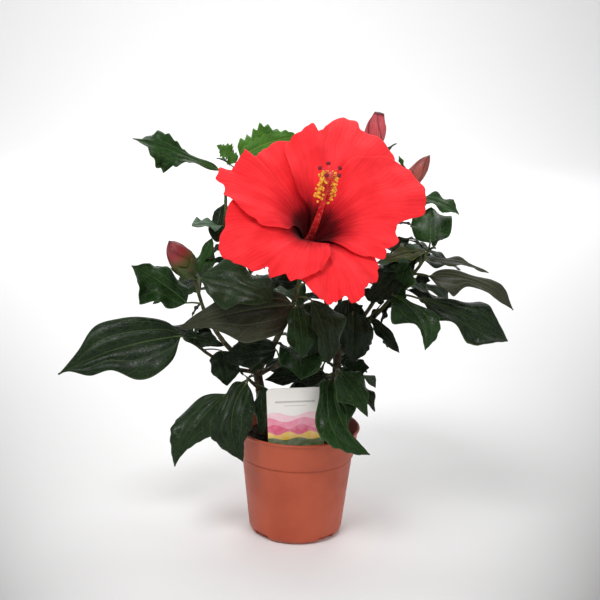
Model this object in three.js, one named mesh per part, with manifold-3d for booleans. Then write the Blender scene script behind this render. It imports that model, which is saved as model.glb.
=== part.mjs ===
// A young hibiscus shrub in its nursery pot: two woody trunks that fork low over the soil, the
// boughs that rise from them, the masses of leaves that the boughs carry, one wide open bloom,
// three closed buds and a plain plant label. Millimetres, +Z up, the viewer looks along +Y.
// The origin is the middle of the pot's flat underside.
import * as THREE from "three";
import { mergeVertices } from "three/addons/utils/BufferGeometryUtils.js";
import Module from "manifold-3d";

const wasm = await Module();
wasm.setup();

const GAP = 0.3; // clearance where one solid meets another
const MERGE = 1e-4; // corners closer than this are one

// Pot: a thin pot with a collar, a rolled lip and four drain notches in the edge of its foot. The
// body steps out under the collar, and the lip stands a bead's width proud of the collar.
const POT = {
  height: 106,
  rim: 60,
  collarFoot: 79,
  collarRadius: 55,
  bodyTop: 53.4,
  bodyFoot: 45.6,
  foot: 38,
  corner: 7.6,
  wall: 1.5,
  floor: 9.5,
  lip: 2.2,
  bead: 0.6,
  step: 1.4,
  sides: 32,
};
const NOTCH = { count: 4, from: -47, width: 19, depth: 7, height: 6 };
const SOIL = { edge: 92, top: 94, flatTo: 46, taper: 0.2, dome: 4 };

// Label: a plastic card that leans a little, on a tapered stake pushed into the soil.
const LABEL = {
  width: 52,
  top: 157,
  shoulder: 101,
  neck: 89,
  foot: 58,
  stake: 16,
  point: 4,
  corner: 4,
  cornerSteps: 3,
  thick: 1,
  at: [-1, -44, 0],
  tilt: -3,
  turn: 3,
};

// Trunks: points from the soil up to the fork, and the radius at the soil and at the fork. The
// root flare widens the last millimetres above the soil.
const FLARE = { height: 9, share: 0.45 };
const TRUNKS = {
  trunk_left: { through: [[-32, 6, SOIL.top + GAP], [-35, 5, 125], [-40, 4, 156]], radius: [5.6, 4.2] },
  trunk_right: { through: [[33, 8, SOIL.top + GAP], [35, 8, 140], [37, 9, 182]], radius: [4.8, 3.7] },
};

// Boughs: each one tapers from its trunk's fork to the place where it enters its mass.
const BOUGHS = {
  bough_left: { from: "trunk_left", through: [[-70, -6, 186], [-89, -12, 216]], radius: [2.7, 1.9] },
  bough_left_low: { from: "trunk_left", through: [[-66, 0, 162], [-90, -2, 177]], radius: [2.1, 1.5] },
  bough_upper_left: {
    from: "trunk_left",
    through: [[-40, 24, 205], [-58, 34, 250], [-68, 40, 272]],
    radius: [2.8, 2],
  },
  bough_bloom: { from: "trunk_left", through: [[-25, -12, 188], [-15, -34, 214]], radius: [3, 2.5] },
  bough_back_left: { from: "trunk_left", through: [[-44, 38, 178], [-48, 62, 204]], radius: [2.3, 1.8] },
  bough_right: { from: "trunk_right", through: [[56, 4, 200], [76, 1, 222]], radius: [2.6, 2] },
  bough_upper_right: { from: "trunk_right", through: [[49, 20, 232], [68, 28, 276]], radius: [2.6, 2] },
  bough_upper_back: { from: "trunk_right", through: [[38, 26, 232], [44, 40, 282]], radius: [2.4, 1.9] },
  bough_back: { from: "trunk_right", through: [[28, 42, 205], [22, 72, 226]], radius: [2.3, 1.8] },
  bough_back_right: { from: "trunk_right", through: [[60, 36, 204], [74, 54, 220]], radius: [2.3, 1.8] },
};

// Leaves: how many stations a blade has (a few, more of them with its own outline, and one for each
// so many millimetres), where it is widest, its thickness as a share of its length, its blunt end,
// and its usual form.
const BLADE = {
  stations: [4, 6],
  spacing: 50,
  belly: 0.6,
  taper: 0.9,
  thick: 1 / 50,
  edge: 0.6,
  point: 0.5,
  width: 0.52,
  arch: 40,
  fold: 14,
};
// A blade's own outline gives its reach to the left and to the right of its midrib, seen from
// above with its tip ahead, in hundredths of its length, at these shares of its length.
const OUTLINE_AT = [0, 0.08, 0.25, 0.42, 0.6, 0.78, 0.92, 1];
const PETIOLE = { radius: 1.2, tip: 0.9, bow: 0.06 };
const STEM_SIDES = 5;
const LIMB_SIDES = 7;

// A leaf that the eye picks out: where it leaves its stem, its petiole and its blade. Angles are
// degrees, headings turn anticlockwise from +X seen from above, and lengths are millimetres.
const leaf = (at, [turn, rise, reach], [heading, pitch, length], form = {}) => ({
  at,
  petiole: { heading: turn, pitch: rise, length: reach },
  blade: { heading, pitch, length },
  form,
});

// Masses: each has one stem that goes on from its bough or trunk. Its leaves are either listed,
// where the photograph shows each one, or dealt out round the stem by the seeded rule.
const MASSES = {
  leaves_left: {
    from: "bough_left",
    through: [[-95, -15, 236], [-99, -15, 250]],
    radius: [1.8, 1.5],
    leaves: [
      leaf(0.15, [168, 0, 15], [-179, 34, 62], {
        arch: 20,
        roll: -58,
        left: [18, 28, 37, 41, 27, 7],
        right: [11, 23, 20, 24, 16, 4],
      }),
      leaf(0.4, [-86, 34, 42], [-17, -12, 72], {
        arch: 30,
        roll: 44,
        sway: -3,
        left: [16, 31, 34, 24, 31, 17],
        right: [7, 28, 34, 33, 21, 8],
      }),
      leaf(0.5, [84, 26, 21], [62, 66, 40], { width: 0.5, arch: 20 }),
      leaf(0.4, [83, 47, 37], [14, 41, 26], { width: 0.8, arch: 26 }),
    ],
  },
  leaves_left_low: {
    from: "bough_left_low",
    through: [[-98, -4, 184], [-106, -6, 189]],
    radius: [1.5, 1.3],
    leaves: [
      leaf(0.95, [-164, 33, 9], [-170, -17, 120], {
        arch: 12,
        roll: -62,
        sway: -14,
        left: [19, 30, 29, 16, 13, 2],
        right: [12, 19, 23, 24, 10, 3],
      }),
      leaf(0, [-31, 8, 22], [-67, -62, 34], { width: 0.9, arch: 26 }),
      leaf(0.5, [110, 10, 20], [138, -6, 62], { width: 0.5, arch: 40 }),
    ],
  },
  leaves_foot_left: {
    from: "trunk_left",
    start: 0.72,
    through: [[-44, -10, 150], [-48, -22, 158]],
    radius: [1.8, 1.4],
    leaves: [
      leaf(0.85, [-160, -30, 25], [-145, -48, 84], {
        arch: 40,
        roll: -20,
        left: [5, 19, 32, 16, 7, 2],
        right: [8, 20, 28, 24, 16, 9],
      }),
      leaf(1, [-90, -4, 12], [-92, -64, 80], {
        arch: 46,
        roll: -6,
        sway: -70,
        left: [14, 24, 25, 24, 12, 6],
        right: [11, 14, 18, 26, 15, 4],
      }),
      leaf(0.3, [-40, 0, 12], [-88, -60, 46], { width: 0.42, arch: 20, roll: 30 }),
    ],
  },
  leaves_bloom: {
    from: "bough_bloom",
    through: [[-7, -44, 236], [-1, -45, 262], [3, -40, 276]],
    radius: [2.4, 1.9],
    leaves: [
      leaf(0.2, [-86, 20, 14], [174, -15, 108], {
        arch: 16,
        roll: -52,
        left: [23, 32, 31, 18, 7, 4],
        right: [10, 16, 17, 15, 10, 4],
      }),
      leaf(0.26, [-80, 4, 17], [-76, -56, 50], {
        arch: 44,
        left: [15, 19, 22, 23, 19, 8],
        right: [10, 21, 25, 27, 24, 7],
      }),
      leaf(0.34, [-50, 4, 22], [-56, -58, 60], {
        arch: 40,
        roll: 6,
        left: [12, 35, 37, 29, 22, 7],
        right: [5, 11, 15, 15, 15, 11],
      }),
      leaf(0.8, [170, 5, 18], [-150, -60, 34], { width: 0.7, arch: 30 }),
      leaf(0.75, [20, 10, 18], [8, -14, 48], { width: 0.55, arch: 40 }),
    ],
  },
  leaves_centre_low: {
    from: "trunk_left",
    start: 0.95,
    through: [[-20, -6, 168], [-6, -14, 182]],
    radius: [1.8, 1.4],
    leaves: [
      leaf(1, [-60, 50, 14], [-86, -22, 54], {
        arch: 44,
        left: [16, 30, 37, 38, 33, 14],
        right: [16, 30, 36, 36, 25, 9],
      }),
      leaf(0.5, [-100, 41, 28], [-178, -14, 49], {
        arch: 26,
        roll: -48,
        left: [22, 32, 32, 30, 24, 10],
        right: [20, 32, 36, 34, 26, 10],
      }),
    ],
  },
  leaves_foot_right: {
    from: "trunk_right",
    start: 0.66,
    through: [[38, -4, 160], [36, -14, 166]],
    radius: [1.7, 1.3],
    leaves: [
      leaf(1, [-98, -8, 21], [-42, -54, 83], {
        arch: 32,
        roll: 24,
        sway: -90,
        left: [3, 12, 20, 4, 3, 2],
        right: [16, 20, 28, 32, 17, 6],
      }),
      leaf(0.9, [-88, 14, 32], [-44, -44, 50], {
        arch: 44,
        roll: 10,
        left: [25, 29, 29, 20, 9, 4],
        right: [22, 41, 45, 41, 24, 8],
      }),
      leaf(0.4, [-20, -15, 8], [-36, -40, 44], { width: 0.6, arch: 30 }),
      leaf(0.2, [13, 12, 5], [-5, 15, 26], { width: 0.9, arch: 26, roll: 40 }),
      leaf(0.6, [157, -23, 14], [-178, -5, 59], { width: 0.5, arch: 20, roll: -28 }),
    ],
  },
  leaves_right_low: {
    from: "trunk_right",
    start: 0.93,
    through: [[48, 0, 196], [62, -4, 208]],
    radius: [1.6, 1.3],
    leaves: [
      leaf(1, [-146, 42, 22], [-84, -76, 48], {
        arch: 26,
        left: [27, 36, 39, 38, 29, 10],
        right: [12, 21, 23, 23, 19, 6],
      }),
      leaf(0.95, [0, 51, 10], [-24, -46, 42], {
        arch: 30,
        roll: 40,
        left: [5, 9, 10, 10, 7, 3],
        right: [10, 20, 23, 22, 16, 8],
      }),
    ],
  },
  leaves_right: {
    from: "bough_right",
    through: [[94, -3, 246], [110, -2, 266], [118, 3, 280]],
    radius: [1.9, 1.3],
    leaves: [
      leaf(0.24, [-114, -6, 27], [-50, -43, 66], {
        arch: 30,
        roll: 14,
        sway: 60,
        left: [5, 8, 22, 25, 20, 7],
        right: [20, 40, 38, 11, 6, 3],
      }),
      leaf(0.1, [-34, 2, 24], [-7, -23, 94], {
        arch: 26,
        roll: 36,
        left: [2, 7, 16, 24, 14, 8],
        right: [4, 23, 24, 28, 26, 12],
      }),
      leaf(0.46, [-33, 1, 17], [-9, -19, 87], {
        arch: 40,
        roll: 34,
        sway: 28,
        left: [6, 8, 9, 13, 11, 4],
        right: [25, 31, 10, 10, 8, 3],
      }),
      leaf(0.78, [51, -12, 11], [6, -12, 59], { width: 0.34, arch: 24, roll: 10 }),
      leaf(0.85, [-110, 30, 12], [-150, -8, 44], { width: 0.44, arch: 20, roll: -20 }),
      leaf(1, [70, 50, 8], [84, 26, 60], {
        arch: 30,
        left: [24, 33, 33, 28, 18, 6],
        right: [20, 32, 34, 29, 13, 4],
      }),
      leaf(0.5, [-140, 20, 13], [-158, -42, 46], { width: 0.72, arch: 16, roll: -36 }),
      leaf(0.7, [130, 68, 6], [-163, -20, 45], { width: 0.42, arch: 24, roll: -30 }),
    ],
  },
  leaves_upper_right: {
    from: "bough_upper_right",
    through: [[82, 29, 304], [88, 29, 322]],
    radius: [1.8, 1.4],
    leaves: [
      leaf(0.85, [-25, 18, 29], [-16, -20, 38], { width: 0.66, arch: 36, roll: 22 }),
      leaf(0.4, [60, 20, 22], [40, 4, 56], { width: 0.6 }),
      leaf(0.3, [47, 4, 15], [-7, -5, 16], { width: 0.7 }),
      leaf(0.5, [69, 49, 51], [-152, 75, 18], { width: 0.5 }),
    ],
  },
  leaves_upper_left: {
    from: "bough_upper_left",
    through: [[-74, 41, 300], [-74, 44, 330], [-66, 48, 348]],
    radius: [1.9, 1.2],
    leaves: [
      leaf(0.12, [-154, 7, 10], [-124, 7, 40], { width: 0.56, arch: 16, roll: -20 }),
      leaf(0, [-160, -24, 14], [72, 60, 42], { width: 0.5, arch: 30 }),
      leaf(0.9, [-150, 6, 14], [-166, 20, 88], {
        arch: 10,
        roll: -50,
        left: [3, 8, 13, 21, 20, 4],
        right: [3, 5, 8, 11, 17, 4],
      }),
      leaf(1, [28, 63, 10], [9, 21, 60], {
        arch: 30,
        roll: 60,
        left: [18, 27, 28, 26, 14, 6],
        right: [20, 30, 30, 26, 16, 6],
      }),
      leaf(1, [-83, 57, 6], [-161, 39, 25], { width: 0.8, arch: 20, roll: -50 }),
      leaf(0.5, [60, 20, 20], [70, 0, 66], { width: 0.55 }),
      leaf(0.62, [77, 26, 18], [34, 5, 47], { width: 0.55 }),
    ],
  },
  leaves_upper_back: {
    from: "bough_upper_back",
    through: [[48, 42, 310], [58, 36, 346]],
    radius: [1.8, 1.4],
    rule: { seed: 11, count: 7, heading: 100, blade: 62, petiole: 20, rise: 20, pitch: -8 },
  },
  leaves_back_left: {
    from: "bough_back_left",
    through: [[-52, 76, 226], [-52, 84, 250]],
    radius: [1.7, 1.2],
    rule: { seed: 67, count: 11, heading: 120, blade: 80, petiole: 26, rise: 20, pitch: -30 },
  },
  leaves_back: {
    from: "bough_back",
    through: [[20, 92, 246], [20, 98, 276]],
    radius: [1.7, 1.2],
    rule: { seed: 37, count: 11, heading: 80, blade: 80, petiole: 26, rise: 20, pitch: -30 },
  },
  leaves_back_right: {
    from: "bough_back_right",
    through: [[84, 66, 240], [86, 70, 262]],
    radius: [1.7, 1.2],
    rule: { seed: 357, count: 12, heading: 40, blade: 72, petiole: 24, rise: 20, pitch: -30 },
  },
  leaves_back_low: {
    from: "trunk_right",
    start: 0.5,
    through: [[24, 34, 146], [16, 52, 156]],
    radius: [1.8, 1.3],
    rule: { seed: 211, count: 9, heading: 100, blade: 64, petiole: 22, rise: 6, pitch: -36 },
  },
};
const GOLDEN = 137.5; // degrees from one leaf to the next round a stem
const FIRST_LEAF = 0.12; // share of a stem that stays bare at its foot
// The seeded rule: how much smaller and more level leaves get along a stem, how far each one's
// angles, size and reach vary, their usual width and arch with the share that those vary by, and
// where the first leaf stands in its share of the stem.
const RULE = {
  shrink: 0.35,
  lift: 30,
  level: 34,
  turn: 24,
  twist: 30,
  size: 0.14,
  reach: 0.2,
  width: [0.55, 0.12],
  arch: [44, 0.3],
  first: 0.6,
};

// Bloom: five petals on a funnel. At its foot each one spans the same share of the funnel.
const BLOOM = {
  foot: [5, -66, 297],
  heading: -75,
  pitch: 41,
  throat: 4.9,
  depth: 50,
  funnel: 22,
  recurve: 8,
  reach: 92,
  half: 34,
  spread: [8, 30],
  weave: 3,
  thick: 1.1,
  crowd: 1.2,
  curlWidth: 18,
  rows: 7,
  columns: 14,
};
// Each petal: its middle in the throat, in degrees in the face of the bloom, anticlockwise from
// the right; whether its clockwise and its other side lie in front of their neighbours (1) or
// behind them (-1); how high its other side curls, from which place across it and at what distance
// from the axis; and its margin from side to side, as angles and distances.
const PETALS = [
  {
    throat: 54,
    sides: [-1, 1],
    curl: [7, 0.3, 44],
    margin: [
      [24, 58], [31, 92], [40, 103], [50, 109], [59, 111], [63.5, 121], [69, 119], [76, 103],
      [80.5, 89], [84, 94], [91, 87], [98, 80], [105, 74], [112, 55], [117, 38], [108, 30],
    ],
  },
  {
    throat: 126,
    sides: [-1, 1],
    curl: [3, 0.3, 50],
    margin: [
      [86, 56], [97, 78], [111, 81], [119, 79], [128, 76], [131, 85], [139, 84], [144, 84],
      [146.5, 93], [155, 91.5], [158, 84], [166, 80], [174, 70], [183, 60], [192, 49], [199, 28],
    ],
  },
  {
    throat: 198,
    sides: [-1, 1],
    curl: [9, 0, 34],
    margin: [
      [162, 52], [169, 76], [181, 79], [193, 89], [205, 94], [212, 86], [219, 82], [223, 71],
      [229, 75], [236, 67], [242, 71], [250, 65], [257, 59], [265, 51], [272, 40], [276, 30],
    ],
  },
  {
    throat: 270,
    sides: [-1, -1],
    curl: [0, 0, 40],
    margin: [
      [236, 44], [246, 60], [255, 73], [264, 81], [271, 80], [276, 78], [281, 85], [287, 81.5],
      [292, 75], [302, 74], [311, 66], [320, 46],
    ],
  },
  {
    throat: 342,
    sides: [1, 1],
    curl: [3, -0.2, 50],
    margin: [
      [302, 40], [311, 57], [319, 66], [325, 62], [331, 69], [347, 67], [354, 71], [360, 93],
      [367, 99], [378, 104], [388, 103], [397, 99], [406, 78], [416, 62], [423, 42],
    ],
  },
];
const RUFFLE = { waves: 9, height: 3.2, from: 42, to: 84 };
const COLUMN = {
  length: 88,
  heading: -74,
  bend: 20,
  ease: 1.4,
  steps: 8,
  sides: 6,
  radius: [3.4, 1.6],
  anthers: 16,
  anthersAt: [0.66, 0.94],
  filament: 6.5,
  filamentRadius: [0.6, 0.5],
  filamentSides: 3,
  lean: 0.5,
  anther: 1.7,
  stigmas: 5,
  stigmasAt: 0.985,
  style: 9,
  stigma: 2,
};
// The bloom's stalk: it starts clear of its stem's tip and bends at its knee to face outward. Its
// cup's foot is a share of the cup's width, and its sepals stand at a share of the cup's height.
const STALK = {
  radius: 2.2,
  sides: 6,
  steps: 5,
  from: [3, -40, 276.4],
  knee: 9,
  into: 2,
  cup: 8.5,
  cupLength: 12,
  cupFoot: 0.6,
  sepals: 0.8,
};
// Sepals: how many, their radius at foot and tip, and the length and outward lean of each kind.
const SEPAL = { count: 5, sides: 3, radius: [1.3, 0.4], bloom: [12, 0.5], bud: [11, 0.12] };

// Buds: where each one stands, the way it points, its length and its width. A furled bud's shape,
// pointed or with a blunt rolled tip, and that of the inside of its cup are given as shares of
// half its width and of its length.
const BUD_SIDES = 10;
const FURLED = [[0, 0.1], [0.62, 0.16], [0.94, 0.36], [1, 0.5], [0.84, 0.7], [0.48, 0.88], [0, 1]];
const ROLLED = [
  [0, 0.1], [0.62, 0.16], [0.94, 0.36], [1, 0.52], [0.9, 0.7], [0.6, 0.88], [0.44, 0.98], [0, 1],
];
const CUP = {
  foot: [0.5, 0.05],
  floor: 0.1,
  bend: [0.62, 0.16],
  mouth: [0.88, 0.32],
  thick: 1,
  clear: 0.5,
  sepals: 0.9,
};
const NECK = { radius: [1.7, 1.9], sides: 6, steps: 2, into: 1.5 };
const BUDS = {
  bud_left: {
    from: "leaves_left",
    neck: 2,
    heading: -163,
    pitch: 57,
    length: 42,
    width: 23,
    shape: FURLED,
  },
  bud_back: {
    from: "leaves_upper_back",
    neck: 16,
    heading: -30,
    pitch: 78,
    length: 44,
    width: 20,
    shape: ROLLED,
  },
  bud_right: {
    from: "leaves_upper_right",
    neck: 9,
    heading: 0,
    pitch: 56,
    length: 44,
    width: 16,
    shape: FURLED,
  },
};

// Each look: its colour and how rough it is.
const LOOKS = {
  pot: [0xb5543a, 0.5],
  soil: [0x2a1c14, 0.95],
  label: [0xf3ece4, 0.35],
  bark: [0x4a3d28, 0.8],
  leaf: [0x1f3d1c, 0.35],
  petal: [0xf2262c, 0.45],
  column: [0xd8202c, 0.4],
  bud: [0xa32a30, 0.5],
  calyx: [0x4a6a24, 0.55],
};

const radians = THREE.MathUtils.degToRad;
const vector = (p) => new THREE.Vector3(...p);

// The unit vector for a heading and a pitch in degrees.
function direction(heading, pitch) {
  const h = radians(heading);
  const p = radians(pitch);
  return new THREE.Vector3(Math.cos(h) * Math.cos(p), Math.sin(h) * Math.cos(p), Math.sin(p));
}

// Numbers from 0 to 1, always the same ones for one seed.
function seeded(seed) {
  let state = seed;
  return () => {
    state = (state * 16807) % 2147483647;
    return state / 2147483647;
  };
}

// An even step from 0 at the low value to 1 at the high one.
function smooth(low, high, value) {
  const t = Math.min(1, Math.max(0, (value - low) / (high - low)));
  return t * t * (3 - 2 * t);
}

// A closed mesh through rings of points, all of one count. A zigzag of triangles over each end
// joins the ring's first half to its second, so that it also fits the end of a thin sheet.
function loft(rings) {
  const count = rings[0].length;
  const points = rings.flat();
  const faces = [];
  for (let r = 0; r + 1 < rings.length; r++) {
    for (let i = 0; i < count; i++) {
      const a = r * count + i;
      const b = r * count + ((i + 1) % count);
      faces.push(a, b, b + count, a, b + count, a + count);
    }
  }
  const last = (rings.length - 1) * count;
  const close = (a, b, c) => faces.push(a, c, b, last + a, last + b, last + c);
  for (let low = 0, high = count - 1; low + 1 < high; low++, high--) {
    close(low, low + 1, high);
    if (low + 2 < high) close(low + 1, high - 1, high);
  }
  const geometry = new THREE.BufferGeometry().setFromPoints(points);
  geometry.setIndex(faces);
  return geometry;
}

// A solid from a closed mesh: its corners are merged, so that its faces share them.
function solidOf(geometry) {
  const bare = geometry.clone();
  bare.deleteAttribute("normal");
  bare.deleteAttribute("uv");
  const merged = mergeVertices(bare, MERGE);
  return new wasm.Manifold(
    new wasm.Mesh({
      numProp: 3,
      vertProperties: new Float32Array(merged.attributes.position.array),
      triVerts: new Uint32Array(merged.index.array),
    }),
  );
}

function geometryOf(solid) {
  const mesh = solid.getMesh();
  const points = [];
  for (let i = 0; i < mesh.numVert; i++) {
    points.push(new THREE.Vector3().fromArray(mesh.vertProperties, i * mesh.numProp));
  }
  const geometry = new THREE.BufferGeometry().setFromPoints(points);
  geometry.setIndex([...mesh.triVerts]);
  geometry.computeVertexNormals();
  return geometry;
}

// Several solids joined into one.
function fuse(solids) {
  return solids.reduce((whole, next) => whole.add(next));
}

// The largest body of a solid, without any scrap that a cut left loose beside it.
function mainBody(solid) {
  const bodies = solid.decompose();
  return bodies.reduce((best, next) => (next.volume() > best.volume() ? next : best));
}

// A tapering round limb along a smooth curve through the points.
function limb(points, radii, sides, steps, grow = 0, flare = false) {
  const curve = new THREE.CatmullRomCurve3(points, false, "centripetal");
  const rings = [];
  let side = new THREE.Vector3(1, 0, 0);
  for (let i = 0; i <= steps; i++) {
    const share = i / steps;
    const middle = curve.getPoint(share);
    const ahead = curve.getTangent(share);
    side.addScaledVector(ahead, -side.dot(ahead)).normalize();
    const across = new THREE.Vector3().crossVectors(ahead, side);
    const height = middle.z - points[0].z;
    const spread = flare ? 1 + FLARE.share * (1 - smooth(0, FLARE.height, height)) : 1;
    const radius = THREE.MathUtils.lerp(radii[0], radii[1], share) * spread + grow;
    if (i === 0) middle.addScaledVector(ahead, -grow);
    if (i === steps) middle.addScaledVector(ahead, grow);
    rings.push(
      Array.from({ length: sides }, (_, k) => {
        const a = (2 * Math.PI * k) / sides;
        return middle
          .clone()
          .addScaledVector(side, radius * Math.cos(a))
          .addScaledVector(across, radius * Math.sin(a));
      }),
    );
  }
  if (flare) rings[0].forEach((p) => (p.z = points[0].z - grow));
  return { geometry: loft(rings), curve };
}

// How many rings a blade has: a few more where it has its own outline.
function stationsOf(length, { left }) {
  return Math.round(BLADE.stations[left ? 1 : 0] + length / BLADE.spacing);
}

// A blade's half width as a share of its widest, at the share u of its length.
function bladeWidth(u, belly) {
  const peak = belly / (belly + BLADE.taper);
  const shape = (x) => x ** belly * (1 - x) ** BLADE.taper;
  return u <= 0 || u >= 1 ? 0 : shape(u) / shape(peak);
}

// How far a blade reaches to one side at the share u of its length.
function sideReach(u, outline, { width = BLADE.width, belly = BLADE.belly }) {
  if (!outline) return (bladeWidth(u, belly) * width) / 2;
  const reach = [0, ...outline, 0];
  const next = OUTLINE_AT.findIndex((at) => at >= u);
  const share = (u - OUTLINE_AT[next - 1]) / (OUTLINE_AT[next] - OUTLINE_AT[next - 1]);
  return THREE.MathUtils.lerp(reach[next - 1], reach[next], share) / 100;
}

// One leaf: a petiole from the stem, then a blade that arches over and folds along its midrib.
function leafSolid(foot, { petiole, blade, form }) {
  const arch = form.arch ?? BLADE.arch;
  const roll = radians(form.roll ?? 0);
  const fold = radians(BLADE.fold);
  const thick = (blade.length * BLADE.thick) / 2;
  const stations = stationsOf(blade.length, form);
  const sway = radians(form.sway ?? 0);
  const heading = radians(blade.heading);
  const level = new THREE.Vector3(-Math.sin(heading), Math.cos(heading), 0);
  // The way the blade runs at a share of its length, and across and up from there.
  const frame = (u) => {
    const along = direction(blade.heading, blade.pitch + arch * (0.5 - u));
    const above = new THREE.Vector3().crossVectors(along, level);
    const side = level.clone().multiplyScalar(Math.cos(roll)).addScaledVector(above, Math.sin(roll));
    const up = above.multiplyScalar(Math.cos(roll)).addScaledVector(level, -Math.sin(roll));
    const turn = sway * (0.5 - u);
    const across = side.clone().multiplyScalar(Math.cos(turn)).addScaledVector(along, -Math.sin(turn));
    const ahead = along.multiplyScalar(Math.cos(turn)).addScaledVector(side, Math.sin(turn));
    return { ahead, across, up };
  };
  const edge = (point, across, up, reach, slope) =>
    point
      .clone()
      .addScaledVector(across, reach * Math.cos(slope))
      .addScaledVector(up, Math.abs(reach) * Math.sin(slope));
  const ring = (point, across, up, [left, right], slope, body) => [
    edge(point, across, up, left, slope),
    point.clone().addScaledVector(up, body),
    edge(point, across, up, -right, slope),
    point.clone().addScaledVector(up, -body),
  ];
  const outward = direction(petiole.heading, petiole.pitch);
  const root = foot.clone().addScaledVector(outward, petiole.length);
  const middle = foot.clone().lerp(root, 0.5);
  middle.z += PETIOLE.bow * petiole.length;
  const { ahead: start, across, up } = frame(0);
  const rings = [
    [foot, outward, PETIOLE.radius],
    [middle, outward, (PETIOLE.radius + PETIOLE.tip) / 2],
    [root, outward.clone().add(start).normalize(), PETIOLE.tip],
  ].map(([point, ahead, radius]) => {
    const turn = new THREE.Quaternion().setFromUnitVectors(start, ahead);
    const side = across.clone().applyQuaternion(turn);
    return ring(point, side, up.clone().applyQuaternion(turn), [radius, radius], 0, radius);
  });
  const point = root.clone();
  for (let i = 1; i <= stations; i++) {
    const u = i / stations;
    point.addScaledVector(frame(u - 0.5 / stations).ahead, blade.length / stations);
    const reach = [form.left, form.right].map((outline) =>
      Math.max(sideReach(u, outline, form) * blade.length, thick * BLADE.edge),
    );
    const body = i === stations ? thick * BLADE.point : thick;
    const here = frame(u);
    rings.push(ring(point, here.across, here.up, reach, fold, body));
  }
  return solidOf(loft(rings));
}

// The leaves that the seeded rule deals out round a stem: a golden angle apart, smaller and
// nearer level towards the tip.
function ruledLeaves({ seed, count, heading, blade, petiole, rise, pitch }) {
  const chance = seeded(seed);
  const vary = (share) => 1 + share * (2 * chance() - 1);
  const about = (range) => range * (chance() - 0.5);
  return Array.from({ length: count }, (_, i) => {
    const at = (i + RULE.first) / count;
    const turn = heading + i * GOLDEN + about(RULE.turn);
    const length = blade * (1 - RULE.shrink * at) * vary(RULE.size);
    const foot = [turn, rise + RULE.lift * at, petiole * vary(RULE.reach)];
    const run = [turn + about(RULE.twist), pitch + RULE.level * at * vary(RULE.arch[1]), length];
    const [width, arch] = [RULE.width, RULE.arch].map(([mean, share]) => mean * vary(share));
    return leaf(at, foot, run, { width, arch, roll: about(RULE.twist), sway: about(RULE.twist) });
  });
}

const group = new THREE.Group();
const placed = []; // every solid so far, with its name and box

function show(name, solid, look) {
  const [color, roughness] = LOOKS[look];
  const material = new THREE.MeshStandardMaterial({ color, roughness, metalness: 0 });
  const mesh = new THREE.Mesh(geometryOf(solid), material);
  mesh.name = name;
  group.add(mesh);
  placed.push({ name, solid, box: solid.boundingBox() });
}

function boxesMeet(a, b) {
  return [0, 1, 2].every((k) => a.min[k] < b.max[k] && b.min[k] < a.max[k]);
}

// Whether a new solid would run into one that is already in place.
function meets(solid) {
  const box = solid.boundingBox();
  return placed.some(
    (other) => boxesMeet(box, other.box) && solid.intersect(other.solid).volume() > 0,
  );
}

function turned(profile, sides) {
  const geometry = new THREE.LatheGeometry(profile, sides);
  geometry.rotateX(Math.PI / 2);
  return solidOf(geometry);
}

const flat = (points) => points.map(([x, y]) => new THREE.Vector2(x, y));

function makePot() {
  const { height, rim, collarFoot, collarRadius, bodyTop, bodyFoot, foot, corner } = POT;
  const { wall, floor, lip, bead, step } = POT;
  const bend = foot + corner * Math.SQRT1_2;
  const profile = flat([
    [0, 0],
    [foot, 0],
    [bend, corner * (1 - Math.SQRT1_2)],
    [bodyFoot, corner],
    [bodyTop, collarFoot - step],
    [collarRadius, collarFoot],
    [rim - wall, height - lip],
    [rim, height - lip / 2],
    [rim - bead, height],
    [rim - wall - bead, height],
    [collarRadius - wall, collarFoot],
    [bodyTop - wall, collarFoot - step],
    [bodyFoot - wall, floor + SOIL.dome],
    [foot, floor],
    [0, floor],
  ]);
  let pot = turned(profile, POT.sides);
  for (let i = 0; i < NOTCH.count; i++) {
    const notch = new THREE.BoxGeometry(NOTCH.depth * 2, NOTCH.width, NOTCH.height * 2);
    notch.translate(bodyFoot, 0, 0);
    notch.rotateZ(radians(NOTCH.from + (360 / NOTCH.count) * i));
    pot = pot.subtract(solidOf(notch));
  }
  show("pot", pot, "pot");
}

// The label's outline, seen from the front, with its stake below.
function labelSolid(grow) {
  const { width, top, shoulder, neck, foot, stake, point, corner, cornerSteps, thick } = LABEL;
  const w = width / 2 + grow;
  const outline = new THREE.Shape();
  outline.moveTo(-point / 2 - grow, foot - grow);
  outline.lineTo(point / 2 + grow, foot - grow);
  outline.lineTo(stake / 2 + grow, neck);
  outline.lineTo(w, shoulder - grow);
  outline.lineTo(w, top - corner);
  outline.quadraticCurveTo(w, top + grow, w - corner, top + grow);
  outline.lineTo(corner - w, top + grow);
  outline.quadraticCurveTo(-w, top + grow, -w, top - corner);
  outline.lineTo(-w, shoulder - grow);
  outline.lineTo(-stake / 2 - grow, neck);
  const depth = thick + 2 * grow;
  const flatSided = { depth, bevelEnabled: false, curveSegments: cornerSteps };
  const card = new THREE.ExtrudeGeometry(outline, flatSided);
  card.translate(0, -LABEL.shoulder, -depth / 2);
  card.rotateZ(radians(-LABEL.tilt));
  card.translate(0, LABEL.shoulder, 0);
  card.rotateX(Math.PI / 2);
  card.rotateZ(radians(LABEL.turn));
  card.translate(...LABEL.at);
  return solidOf(card);
}

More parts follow.
